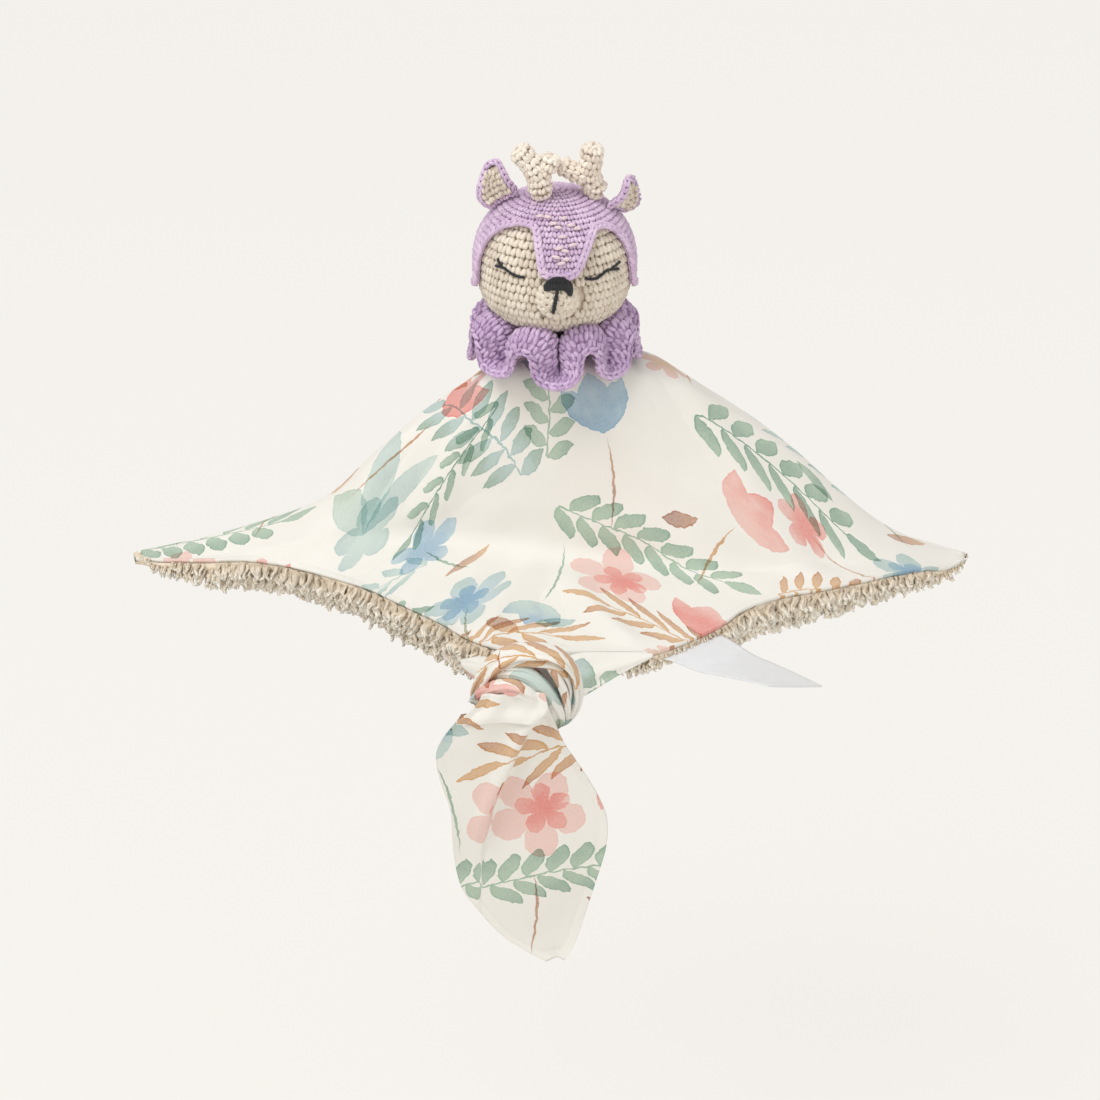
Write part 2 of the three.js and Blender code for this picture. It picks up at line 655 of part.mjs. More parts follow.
const hood_body = solid(head_ball(hood_room + hood_thickness))
  .subtract(solid(head_ball(hood_room)))
  .subtract(solid(under_rim))
  .subtract(window_through(left_window_shares))
  .subtract(window_through(right_window_shares))
  .subtract(window_through(below_blaze_shares));
piece('hood', geometry_of(hood_body), lilac);

// THE FACE
// The muzzle, a little padded dome; the nose, satin stitch over its top; the mouth, one straight stitch
const muzzle_y = -head_radius * 0.925;
const muzzle_z = head_z - muzzle_drop;
const muzzle_ball = (grow) => ball(
  muzzle_radius + grow, muzzle_depth + grow, muzzle_radius + grow, muzzle_x, muzzle_y, muzzle_z, 22, 12);
const head_room = solid(head_ball(touching_gap));
piece('muzzle', geometry_of(solid(muzzle_ball(0)).subtract(head_room)), cream);
const nose_y = -head_radius - nose_depth * 1.1;
const nose_z = head_z + nose_rise;
piece(
  'nose',
  geometry_of(
    solid(ball(nose_half_width, nose_depth, nose_half_height, nose_x, nose_y, nose_z, 16, 10))
      .subtract(head_room)
      .subtract(solid(muzzle_ball(touching_gap))),
  ),
  black_thread,
  0.75,
);
const mouth_top = new THREE.Vector3(nose_x, 0, nose_z - nose_half_height - thread_radius - touching_gap);
const mouth_bottom = new THREE.Vector3(nose_x - mouth_lean, 0, muzzle_z - muzzle_radius * 0.5);
const on_muzzle = (x, z) => {
  const across = (x - muzzle_x) / muzzle_radius;
  const up = (z - muzzle_z) / muzzle_radius;
  const out = muzzle_depth * Math.sqrt(Math.max(0, 1 - across ** 2 - up ** 2));
  return new THREE.Vector3(x, muzzle_y - out - touching_gap - thread_radius, z);
};
const rounded_end = (t) => thread_radius * Math.min(1, 0.45 + 4 * Math.min(t, 1 - t));
piece(
  'mouth_stitch',
  rope(
    [0, 0.33, 0.67, 1].map((t) => on_muzzle(lerp(mouth_top.x, mouth_bottom.x, t), lerp(mouth_top.z, mouth_bottom.z, t))),
    rounded_end, 6, 6,
  ),
  black_thread,
  0.75,
);

// The closed eyes, each one thread with a lash at its outer end. Places on the face as [turn, rise] degrees.
function on_face([turn, rise]) {
  const height = Math.sin(radians(rise));
  const lift = touching_gap + thread_radius;
  const radius = head_radius_share(height) * (head_radius + lift);
  return new THREE.Vector3(
    radius * Math.sin(radians(turn)),
    -radius * Math.cos(radians(turn)),
    head_z + height * (half_height(height) + lift),
  );
}
function eye(name, lid, lash) {
  const lid_body = rope(lid.map(on_face), rounded_end, 10, 6);
  const lash_body = rope(lash.map(on_face), rounded_end, 4, 6);
  piece(name, geometry_of(solid(lid_body).add(solid(lash_body))), black_thread, 0.75);
}
eye('left_eye_stitch', [[-49, 10], [-40, 10.5], [-31, 6.8], [-22.5, 6.6]], [[-47.8, 16.2], [-45, 13], [-41, 10]]);
eye('right_eye_stitch', [[53, 10.5], [41, 8.6], [31, 4.4], [23, 6]], [[46, 12], [43, 10], [39, 8]]);

// THE EARS
// Each is a cupped leaf, pinched where it is sewn on, lilac outside and lined with cream. It stands on
// the hood square to it and bends up; its rounded root lets it lie forward or back.
const hood_half_height = head_top_height + hood_room + hood_thickness;
const hood_radius = head_radius + hood_room + hood_thickness;
function hood_place(turn, rise) {
  const height = Math.sin(radians(rise));
  const radius = head_radius_share(height);
  const out = new THREE.Vector3(Math.sin(radians(turn)), -Math.cos(radians(turn)), 0);
  const steepness = roundness(height) - 1;
  const normal = out.clone().multiplyScalar(radius ** steepness / hood_radius);
  normal.z = height ** steepness / hood_half_height;
  const at = out.multiplyScalar(radius * hood_radius);
  at.z = head_z + height * hood_half_height;
  return { at, normal: normal.normalize() };
}
// Each ring: [height share, half width share, cup depth share, thickness share]
const ear_root_share = 0.14;
const ear_outline_shares = [
  [-0.96 * ear_root_share, 0.12, 0.02, 0.5], [-0.05, 0.26, 0.04, 1], [0.03, 0.32, 0.07, 1.1], [0.14, 0.42, 0.13, 1],
  [0.32, 0.5, 0.19, 1], [0.52, 0.46, 0.19, 1], [0.72, 0.34, 0.14, 1], [0.88, 0.19, 0.07, 0.9],
  [1, 0.05, 0.01, 0.5],
];
const ear_lining_shares = [
  [0.1, 0.2, 0.1, 0.5], [0.18, 0.3, 0.15, 1], [0.34, 0.36, 0.185, 1], [0.52, 0.33, 0.185, 1],
  [0.7, 0.22, 0.135, 1], [0.84, 0.09, 0.07, 0.6],
];
function leaf(table, root, root_up, tip_up, face, thickness, forward_shift, size) {
  const side = root_up.clone().cross(face).normalize();
  const path = new THREE.CatmullRomCurve3([
    root,
    root.clone().addScaledVector(root_up, ear_height * size * 0.35),
    root.clone().addScaledVector(root_up, ear_height * size * 0.4).addScaledVector(tip_up, ear_height * size * 0.6),
  ]);
  const per_side = 7;
  return body_through(
    table.map(([height, half_width, cup, thick]) => {
      const middle = height < 0
        ? root.clone().addScaledVector(root_up, height * ear_height * size)
        : path.getPointAt(Math.min(1, height));
      const half = ear_width * half_width * size;
      const line = (depth) => Array.from({ length: per_side }, (_, k) => {
        const s = lerp(-1, 1, k / (per_side - 1));
        const bow = cup * ear_width * size * s * s;
        return middle
          .clone()
          .addScaledVector(side, half * s)
          .addScaledVector(face, bow + depth + forward_shift);
      });
      return [...line((-thickness * thick) / 2), ...line((thickness * thick) / 2).reverse()];
    }),
    per_side,
  );
}
function ear(prefix, turn, rise, yaw, tip_lean, size) {
  const { at, normal } = hood_place(turn, rise);
  const root = at.clone().addScaledVector(normal, ear_height * size * ear_root_share + turning_gap);
  const tip_up = new THREE.Vector3(Math.sin(radians(tip_lean[0])), Math.sin(radians(tip_lean[1])), 1).normalize();
  const towards = new THREE.Vector3(Math.sin(radians(yaw)), -Math.cos(radians(yaw)), 0);
  const face = towards.addScaledVector(normal, -towards.dot(normal)).normalize();
  const outer = leaf(ear_outline_shares, root, normal, tip_up, face, ear_knit_thickness, 0, size);
  const lift = (ear_knit_thickness + ear_lining_thickness) / 2 + touching_gap;
  const inner = leaf(ear_lining_shares, root, normal, tip_up, face, ear_lining_thickness, lift, size);
  piece(`${prefix}_ear_outer`, outer, lilac);
  piece(`${prefix}_ear_lining`, inner, cream);
}
ear('left', -88, 55.5, -12, [-3, -6], 1);
ear('right', 88, 47, 42, [16, -26], 0.92);

// THE ANTLERS
// Each is a stuffed crocheted tube with a shorter tine sewn to its side
function rounded_tube(radius, length) {
  return (t) => {
    const from_end = Math.min(t, 1 - t) * length;
    return from_end >= radius ? radius : Math.sqrt(Math.max(0, radius ** 2 - (radius - from_end) ** 2)) + radius * 0.12;
  };
}
function antler(prefix, turn, rise, main_shares, tine_shares) {
  const { at, normal } = hood_place(turn, rise);
  const joint = at.clone().addScaledVector(normal, antler_radius + turning_gap);
  const place = ([x, y, z]) => joint.clone().add(new THREE.Vector3(x, y, z).multiplyScalar(antler_radius));
  const start = joint.clone().addScaledVector(normal, -antler_radius * 0.96);
  const points = [start, joint, ...main_shares.map(place)];
  const length = new THREE.CatmullRomCurve3(points).getLength();
  const main_tube = (grow) => rope(points, (t) => rounded_tube(antler_radius, length)(t) + grow, 16, 10);
  piece(`${prefix}_antler_stem`, main_tube(0), cream);
  const tine_points = tine_shares.map(place);
  const tine_length = new THREE.CatmullRomCurve3(tine_points).getLength();
  const tine = solid(rope(tine_points, rounded_tube(tine_radius, tine_length), 10, 8))
    .subtract(solid(main_tube(touching_gap)));
  piece(`${prefix}_antler_tine`, geometry_of(tine), cream);
}
// Points of the stems and tines as shares of the stem's radius, from its rounded foot
antler('left', -31, 74, [[-0.35, -0.05, 1.4], [-1.1, -0.1, 2.7], [-2.2, -0.2, 3.9]],
  [[-0.3, -0.05, 1.1], [0.6, 0, 2], [1.15, 0, 3.2]]);
antler('right', 80, 66, [[-0.5, -0.3, 1.3], [-0.35, -0.5, 2.8], [-0.1, -0.7, 4.4]],
  [[-0.5, -0.3, 1], [-1.9, -0.4, 1.6], [-3.3, -0.5, 2.4]]);

export default group;
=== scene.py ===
# A comfort blanket, dressed for the camera: a crocheted fawn's head with a frilled collar on a draped cloth,
# printed cotton over long-pile plush, with a knotted corner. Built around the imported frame, in its places.
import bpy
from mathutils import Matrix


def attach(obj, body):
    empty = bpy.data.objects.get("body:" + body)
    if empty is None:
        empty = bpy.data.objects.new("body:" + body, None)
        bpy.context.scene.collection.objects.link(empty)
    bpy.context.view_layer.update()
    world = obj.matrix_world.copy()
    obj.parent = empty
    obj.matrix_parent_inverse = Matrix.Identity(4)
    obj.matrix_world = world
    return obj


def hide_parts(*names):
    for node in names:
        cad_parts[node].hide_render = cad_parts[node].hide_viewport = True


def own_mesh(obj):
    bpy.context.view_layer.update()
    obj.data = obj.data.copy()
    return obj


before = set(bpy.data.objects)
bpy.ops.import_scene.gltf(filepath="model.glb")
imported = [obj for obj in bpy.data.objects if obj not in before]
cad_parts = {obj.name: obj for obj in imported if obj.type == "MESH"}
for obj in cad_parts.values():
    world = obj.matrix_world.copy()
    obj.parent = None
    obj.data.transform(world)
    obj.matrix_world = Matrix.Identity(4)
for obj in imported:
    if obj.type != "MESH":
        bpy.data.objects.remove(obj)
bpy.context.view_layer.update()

import math
import random
import bmesh
import bpy
import numpy as np
from mathutils import Vector

# THE STUDIO
# The blanket is held up by its neck over a plain pale floor. Large soft lamps stand above it to the left and
# in front to the right, and the camera looks down on it a little, as in the photograph.
mm = 0.001
camera_distance = 1400 * mm
camera_rise = math.radians(26)
view_angle = math.radians(21.75)
aim = Vector((-2.15, 0, -94.6)) * mm
floor_level = -420 * mm
floor_side = 9.0
background_colour = (0.930, 0.905, 0.863, 1)
lamp_side = 1.1

camera = bpy.data.objects.new("camera", bpy.data.cameras.new("camera"))
camera.data.angle = view_angle
away = Vector((0, -math.cos(camera_rise), math.sin(camera_rise)))
camera.location = aim + away * camera_distance
camera.rotation_euler = away.to_track_quat("Z", "Y").to_euler()
bpy.context.scene.collection.objects.link(camera)
bpy.context.scene.camera = camera
bpy.context.scene.view_settings.view_transform = "Standard"


def lamp(name, place, power, side):
    data = bpy.data.lights.new(name, "AREA")
    data.size = side
    data.energy = power
    made = bpy.data.objects.new(name, data)
    made.location = Vector(place)
    made.rotation_euler = (made.location - aim).to_track_quat("Z", "Y").to_euler()
    bpy.context.scene.collection.objects.link(made)


lamp("key_lamp", (-0.8, -0.55, 1.7), 21, lamp_side)
lamp("front_lamp", (0.9, -1.7, 0.4), 6, lamp_side)


class Shade:
    """One socket of a material's nodes, on which sums can be written."""

    def __init__(self, tree, socket):
        self.tree = tree
        self.socket = socket

    def sum_of(self, operation, *values):
        node = self.tree.nodes.new("ShaderNodeMath")
        node.operation = operation
        for place, value in enumerate(values):
            feed(self.tree, node.inputs[place], value)
        return Shade(self.tree, node.outputs[0])

    def __add__(self, other):
        return self.sum_of("ADD", self, other)

    __radd__ = __add__

    def __sub__(self, other):
        return self.sum_of("SUBTRACT", self, other)

    def __rsub__(self, other):
        return self.sum_of("SUBTRACT", other, self)

    def __mul__(self, other):
        return self.sum_of("MULTIPLY", self, other)

    __rmul__ = __mul__

    def __truediv__(self, other):
        return self.sum_of("DIVIDE", self, other)

    def __pow__(self, other):
        return self.sum_of("POWER", self, other)

    def __abs__(self):
        return self.sum_of("ABSOLUTE", self)

    def least(self, other):
        return self.sum_of("MINIMUM", self, other)

    def most(self, other):
        return self.sum_of("MAXIMUM", self, other)

    def part(self):
        return self.sum_of("FRACT", self)

    def below(self, other):
        return self.sum_of("LESS_THAN", self, other)

    def wave(self):
        return self.sum_of("SINE", self)

    def step(self, low, high):
        """0 at low and 1 at high, smoothly."""
        node = self.tree.nodes.new("ShaderNodeMapRange")
        node.interpolation_type = "SMOOTHSTEP"
        feed(self.tree, node.inputs["Value"], self)
        node.inputs["From Min"].default_value = low
        node.inputs["From Max"].default_value = high
        return Shade(self.tree, node.outputs["Result"])


def feed(tree, socket, value):
    if isinstance(value, Shade):
        tree.links.new(value.socket, socket)
    else:
        socket.default_value = value


class Finish:
    """A material of one yarn, thread or cloth: its nodes, and the surface that they feed."""

    def __init__(self, name, roughness=0.9, **constants):
        self.material = bpy.data.materials.new(name)
        self.material.use_nodes = True
        self.tree = self.material.node_tree
        self.surface = self.tree.nodes["Principled BSDF"]
        self.set("Roughness", roughness)
        for key, value in constants.items():
            self.set(key.replace("_", " "), value)

    def set(self, socket, value):
        feed(self.tree, self.surface.inputs[socket], value)

    def node(self, kind, settings, values, out=0):
        node = self.tree.nodes.new(kind)
        for key, value in settings.items():
            if key == "stops":
                while len(node.color_ramp.elements) < len(value):
                    node.color_ramp.elements.new(1)
                for stop, (place, colour) in zip(node.color_ramp.elements, value):
                    stop.position = place
                    stop.color = colour
            else:
                setattr(node, key, value)
        for key, value in values.items():
            feed(self.tree, node.inputs[key], value)
        return Shade(self.tree, node.outputs[out])

    def noise(self, where, scale, detail=2.0, roughness=0.5):
        sizes = {"Vector": where, "Scale": scale, "Detail": detail, "Roughness": roughness}
        return self.node("ShaderNodeTexNoise", {}, sizes)

    def place(self):
        return self.node("ShaderNodeTexCoord", {}, {}, "Object")

    def attribute(self, name, out="Vector"):
        return self.node("ShaderNodeAttribute", {"attribute_name": name}, {}, out)

    def axes(self, vector):
        split = self.tree.nodes.new("ShaderNodeSeparateXYZ")
        feed(self.tree, split.inputs[0], vector)
        return [Shade(self.tree, socket) for socket in split.outputs]

    def mixed(self, share, low, high, how="MIX"):
        node = self.tree.nodes.new("ShaderNodeMix")
        node.data_type = "RGBA"
        node.blend_type = how
        feed(self.tree, node.inputs["Factor"], share)
        feed(self.tree, node.inputs[6], low)
        feed(self.tree, node.inputs[7], high)
        return Shade(self.tree, node.outputs[2])

    def bump(self, height, distance, strength=1.0):
        node = self.tree.nodes.new("ShaderNodeBump")
        node.inputs["Strength"].default_value = strength
        node.inputs["Distance"].default_value = distance
        feed(self.tree, node.inputs["Height"], height)
        self.tree.links.new(node.outputs[0], self.surface.inputs["Normal"])


def colour(red, green, blue):
    """A colour named by its screen values, 0 to 255."""
    shares = [value / 255 for value in (red, green, blue)]
    toe = 0.04045
    linear = [s / 12.92 if s <= toe else ((s + 0.055) / 1.055) ** 2.4 for s in shares]
    return (*linear, 1)


def pale_backdrop(tree):
    """A share that is 1 where camera, gloss or glass sees the background, and a mix for it to steer."""
    path = tree.nodes.new("ShaderNodeLightPath")
    seen = Shade(tree, path.outputs["Is Camera Ray"])
    seen = seen.most(Shade(tree, path.outputs["Is Glossy Ray"]))
    seen = seen.most(Shade(tree, path.outputs["Is Transmission Ray"]))
    mix = tree.nodes.new("ShaderNodeMixShader")
    return seen, mix


sky_strength = 0.62
sky_colour = (1.0, 0.985, 0.965, 1)
floor_shadow_share = 0.12
world = bpy.data.worlds.new("studio")
world.use_nodes = True
bpy.context.scene.world = world
sky = world.node_tree.nodes["Background"]
sky.inputs["Color"].default_value = sky_colour
sky.inputs["Strength"].default_value = sky_strength
pale = world.node_tree.nodes.new("ShaderNodeBackground")
pale.inputs["Color"].default_value = background_colour
seen, mix = pale_backdrop(world.node_tree)
feed(world.node_tree, mix.inputs[0], seen)
world.node_tree.links.new(sky.outputs[0], mix.inputs[1])
world.node_tree.links.new(pale.outputs[0], mix.inputs[2])
world.node_tree.links.new(mix.outputs[0], world.node_tree.nodes["World Output"].inputs[0])

floor_mesh = bpy.data.meshes.new("studio_floor")
half_floor = floor_side / 2
floor_corners = [
    (x * half_floor, y * half_floor, floor_level) for x, y in ((-1, -1), (1, -1), (1, 1), (-1, 1))]
floor_mesh.from_pydata(floor_corners, [], [(0, 1, 2, 3)])
studio_floor = bpy.data.objects.new("studio_floor", floor_mesh)
bpy.context.scene.collection.objects.link(studio_floor)
floor_finish = Finish("floor_paint", 1.0)
floor_finish.set("Base Color", background_colour)
glow = floor_finish.tree.nodes.new("ShaderNodeEmission")
glow.inputs["Color"].default_value = background_colour
seen, mix = pale_backdrop(floor_finish.tree)
feed(floor_finish.tree, mix.inputs[0], seen * (1 - floor_shadow_share))
floor_finish.tree.links.new(floor_finish.surface.outputs[0], mix.inputs[1])
floor_finish.tree.links.new(glow.outputs[0], mix.inputs[2])
floor_output = floor_finish.tree.nodes["Material Output"].inputs[0]
floor_finish.tree.links.new(mix.outputs[0], floor_output)
floor_mesh.materials.append(floor_finish.material)

# THE PRINTED COTTON
# The upper layer: a smooth white woven cotton with a watercolour botanical print, sewn round its edge to the
# plush below. It falls from the neck in a steep face, breaks in a crease and runs out flat to the hem.
touching_gap = 0.3
left_reach = 204
right_reach = 200
front_reach = 135
back_reach = 80
crown_height = 108
print_thickness = 1.2
crown_pile_thickness = 8
crown_flat_radius = 14
crown_blend_radius = 24
back_fold_height = 7
back_fold_count = 5
layers_at_crown = crown_pile_thickness + touching_gap + print_thickness
hem_level = layers_at_crown - crown_height

ridge_height_shares = [
    [-1, 0.04], [-0.94, 0.058], [-0.85, 0.1], [-0.75, 0.148], [-0.654, 0.196], [-0.582, 0.251],
    [-0.509, 0.345], [-0.436, 0.493], [-0.363, 0.629], [-0.268, 0.763], [-0.174, 0.89], [-0.1, 0.99],
    [-0.06, 1], [0.08, 1], [0.202, 0.973], [0.298, 0.878], [0.395, 0.773], [0.492, 0.653],
    [0.59, 0.507], [0.69, 0.335], [0.79, 0.186], [0.892, 0.09], [0.95, 0.056], [1, 0.04],
]
shoulder_shares = [
    [-1, 0.004], [-0.8, 0.02], [-0.4, 0.05], [-0.2, 0.08], [-0.08, 0.125], [0.08, 0.125], [0.2, 0.11],
    [0.4, 0.07], [0.8, 0.02], [1, 0.004],
]
front_crease_shares = [
    [-1, 0.03], [-0.9, 0.075], [-0.7, 0.15], [-0.58, 0.185], [-0.36, 0.2], [-0.13, 0.24], [0.1, 0.3],
    [0.35, 0.37], [0.55, 0.31], [0.75, 0.22], [0.9, 0.11], [1, 0.03],
]
back_crease_shares = [
    [-1, 0.02], [-0.8, 0.09], [-0.6, 0.2], [-0.4, 0.34], [0, 0.42], [0.4, 0.36], [0.65, 0.24],
    [0.8, 0.12], [1, 0.02],
]
crease_height_shares = [
    [-1, 0.039], [-0.94, 0.05], [-0.8, 0.095], [-0.6, 0.185],
    [-0.36, 0.215], [-0.13, 0.195], [0.1, 0.185],
    [0.35, 0.165], [0.6, 0.15], [0.8, 0.12], [0.93, 0.058], [1, 0.039],
]
hem_height_shares = [
    [-1, 0.038], [-0.93, 0.06], [-0.84, 0.09], [-0.72, 0.12], [0.76, 0.12], [0.88, 0.09], [0.95, 0.055],
    [1, 0.038],
]
front_hem_shares = [
    [-1, 0.06], [-0.93, 0.12], [-0.82, 0.185], [-0.686, 0.235],
    [-0.6, 0.29], [-0.44, 0.44], [-0.32, 0.615],
    [-0.25, 0.72], [-0.19, 0.83], [-0.1, 0.915], [0.06, 0.93],
    [0.12, 0.935], [0.19, 0.945], [0.26, 0.895],
    [0.375, 0.74], [0.435, 0.615], [0.52, 0.52], [0.61, 0.465], [0.77, 0.355], [0.89, 0.235],
    [0.95, 0.175], [1, 0.075],
]
back_hem_shares = [
    [-1, -0.03], [-0.9, 0.06], [-0.8, 0.13], [-0.7, 0.2],
    [-0.6, 0.34], [-0.5, 0.52], [-0.4, 0.72], [-0.2, 0.94],
    [0, 1], [0.2, 0.95], [0.4, 0.83], [0.55, 0.66],
    [0.65, 0.46], [0.75, 0.27], [0.85, 0.15], [0.92, 0.07],
    [1, -0.05],
]
back_hem_height_shares = [
    [-1, 0.036], [-0.9, 0.04], [-0.75, 0.05], [-0.6, 0.085], [-0.5, 0.12], [0.5, 0.12], [0.65, 0.11],
    [0.8, 0.06], [0.9, 0.04], [1, 0.036],
]
pile_shares = [[-1, 0], [-0.9, 0.4], [-0.72, 1], [0.76, 1], [0.92, 0.4], [1, 0]]
tip_forward_share = 0.05
steep_part_shares = [[0, 0, 0], [0.14, 1, 0.03], [0.28, 0.36, 0.26], [0.46, 0.78, 0.72], [0.6, 1, 0.985]]
flat_part_shares = [[0.72, 0.26, 0.3], [0.86, 0.62, 0.7], [1, 1, 1]]


def lerp(low, high, share):
    return low + (high - low) * share


def smooth(low, high, value):
    share = np.clip((value - low) / (high - low), 0, 1)
    return share * share * (3 - 2 * share)


def along(table, place):
    """A smooth line through a table of [place share, value share] rows."""
    places = np.array([row[0] for row in table], float)
    values = np.array([row[1] for row in table], float)
    last = len(places) - 1
    before = np.maximum(np.arange(last + 1) - 1, 0)
    after = np.minimum(np.arange(last + 1) + 1, last)
    spread = (places[after] - places[before]).reshape((-1,) + (1,) * (values.ndim - 1))
    slopes = (values[after] - values[before]) / spread
    i = np.clip(np.searchsorted(places, place, side="left") - 1, 0, last - 1)
    span = places[i + 1] - places[i]
    t = np.clip((place - places[i]) / span, 0, 1)
    t2 = t * t
    t3 = t2 * t
    return (
        (2 * t3 - 3 * t2 + 1) * values[i]
        + (t3 - 2 * t2 + t) * span * slopes[i]
        + (3 * t2 - 2 * t3) * values[i + 1]
        + (t3 - t2) * span * slopes[i + 1]
    )


def run_along(line):
    """How far along a line each of its points lies. In a grid of points each column is a line."""
    steps = np.linalg.norm(np.diff(line, axis=0), axis=-1)
    return np.concatenate([np.zeros((1,) + steps.shape[1:]), np.cumsum(steps, axis=0)])


def values_at(wanted, run, values):
    """Each column of the values given along a run, at the wanted places of the run."""
    return np.stack([np.interp(wanted, run, column) for column in values.T], axis=-1)


def cloth_row(across, down):
    """The cloth's top at many stations across and one place down: -1 is the front hem, 1 the back."""
    front = down < 0
    reach = -front_reach if front else back_reach
    x = across * np.where(across < 0, left_reach, right_reach)
    shoulder = along(shoulder_shares, across) * front_reach * (-1 if front else 1)
    crease = reach * along(front_crease_shares if front else back_crease_shares, across)
    hem = reach * along(front_hem_shares if front else back_hem_shares, across)
    ridge = crown_height * along(ridge_height_shares, across)
    fold = crown_height * np.minimum(along(crease_height_shares, across), along(ridge_height_shares, across))
    edge = crown_height * along(hem_height_shares if front else back_hem_height_shares, across)
    ridge_y = -front_reach * tip_forward_share * np.abs(across) ** 3
    depths = []
    heights = []
    for row, (place, depth, height) in enumerate(steep_part_shares):
        y = ridge_y + (shoulder * depth if row < 2 else lerp(shoulder, crease, depth))
        depths.append([place, y])
        heights.append([place, lerp(ridge, fold, height)])
    for place, depth, height in flat_part_shares:
        depths.append([place, lerp(ridge_y + crease, hem, depth)])
        heights.append([place, lerp(fold, edge, height)])
    place = abs(down)
    y = along(depths, place)
    z = along(heights, place)
    if not front:
        slack = smooth(0.5, 1, place) * (1 - np.abs(across))
        z = z + back_fold_height * slack * np.sin(across * back_fold_count * math.pi) ** 2
    flatness = smooth(crown_blend_radius, crown_flat_radius, np.hypot(x, y))
    return np.stack([x, y, hem_level + lerp(z, crown_height, flatness)], axis=-1)


def cloth_grid(across, downs):
    return np.stack([cloth_row(across, down) for down in downs], axis=0)


def grid_normals(points):
    run = np.gradient(points, axis=1)
    fall = np.gradient(points, axis=0)
    normals = np.cross(run, fall)
    return normals / (np.linalg.norm(normals, axis=-1, keepdims=True) + 1e-9)


# Soft folds pressed into the cotton: [across share, down share, heading degrees, length, width, height]
cloth_folds = [
    [-0.2, -0.22, 62, 90, 9, 1.6], [-0.33, -0.3, 40, 110, 12, -1.5], [-0.06, -0.24, 84, 60, 7, -1.1],
    [0.12, -0.2, 102, 70, 8, 1.3], [0.3, -0.24, 132, 90, 10, -1.6], [0.42, -0.3, 140, 120, 12, 1.5],
    [0.2, -0.52, 8, 150, 10, 0.9], [-0.3, -0.55, -10, 120, 9, -0.8], [-0.12, -0.84, 70, 60, 7, 1.8],
    [0.0, -0.86, 100, 55, 6, -1.6], [0.1, -0.85, 118, 60, 7, 1.8], [-0.2, -0.86, 50, 55, 7, -1.7],
    [0.55, -0.62, -20, 90, 11, 1.4], [-0.55, -0.5, 20, 90, 9, 1.0], [0.0, 0.5, 90, 90, 12, 2.0],
    [-0.3, 0.45, 60, 90, 12, -2.0], [0.3, 0.45, 120, 90, 12, -2.0],
]


fold_share = 1.9


def pressed_folds(points, cut):
    """How far the folds lift the cloth, by its places on the flat cut."""
    rise = np.zeros(points.shape[:2])
    for across, down, heading, length, width, height in cloth_folds:
        station = np.array([across])
        row = cloth_row(station, down)
        x = row[0, 0]
        gap = np.linalg.norm(points - row[0], axis=-1)
        nearest = np.unravel_index(np.argmin(gap), gap.shape)
        v = cut[nearest][1]
        turn = math.radians(heading)
        dx = cut[..., 0] - x
        dy = cut[..., 1] - v
        on = dx * math.cos(turn) + dy * math.sin(turn)
        off = -dx * math.sin(turn) + dy * math.cos(turn) + on * on / (4 * length)
        rise += fold_share * height * np.exp(-(off / width) ** 2) * np.exp(-(on / (0.5 * length)) ** 4)
    return rise


def make_piece(name, points, faces, finish=None, uv=None, smooth_faces=True):
    """A mesh object from points in millimetres, with its faces smooth and its UV given for each point."""
    mesh = bpy.data.meshes.new(name)
    mesh.from_pydata(np.asarray(points, float).reshape(-1, 3) * mm, [], faces)
    if uv is not None:
        layer = mesh.uv_layers.new(name="cut")
        corners = np.zeros(len(mesh.loops), int)
        mesh.loops.foreach_get("vertex_index", corners)
        layer.data.foreach_set("uv", np.asarray(uv, float).reshape(-1, 2)[corners].ravel())
    if smooth_faces:
        mesh.polygons.foreach_set("use_smooth", np.ones(len(mesh.polygons), bool))
    if finish is not None:
        mesh.materials.append(finish.material)
    mesh.update()
    made = bpy.data.objects.new(name, mesh)
    bpy.context.scene.collection.objects.link(made)
    return made


def sheet_faces(rows, columns):
    """Faces of a closed sheet: an upper grid, a lower grid after it, and the edge between them."""
    count = rows * columns
    faces = []
    for r in range(rows - 1):
        for c in range(columns - 1):
            a = r * columns + c
            b, d, e = a + 1, a + columns, a + columns + 1
            faces.append((a, b, e, d))
            faces.append((count + a, count + d, count + e, count + b))
    border = list(range(columns))
    border += [r * columns + columns - 1 for r in range(1, rows)]
    border += [(rows - 1) * columns + c for c in range(columns - 2, -1, -1)]
    border += [r * columns for r in range(rows - 2, 0, -1)]
    for k, a in enumerate(border):
        b = border[(k + 1) % len(border)]
        faces.append((a, count + a, count + b, b))
    return faces


cut_unit = 100
cloth_columns = 201
front_rows = 96
back_rows = 60


def ring_faces(rings, around, first=0):
    """Faces between rings of points that follow one another, from the point numbered first."""
    faces = []
    for r in range(rings - 1):
        for k in range(around):
            a = first + r * around + k
            b = first + r * around + (k + 1) % around
            faces.append((a, b, b + around, a + around))
    return faces


def rows_down(front, back):
    """Places down the cloth, from the front hem over the ridge to the back hem."""
    return np.concatenate([-np.linspace(1, 0, front), np.linspace(0, 1, back)[1:]])


def flat_places(points, ridge_row):
    """Each point's place on the cut cloth: its station across, and its run down from the ridge."""
    run = run_along(points)
    return np.stack([points[..., 0], run - run[ridge_row]], axis=-1)


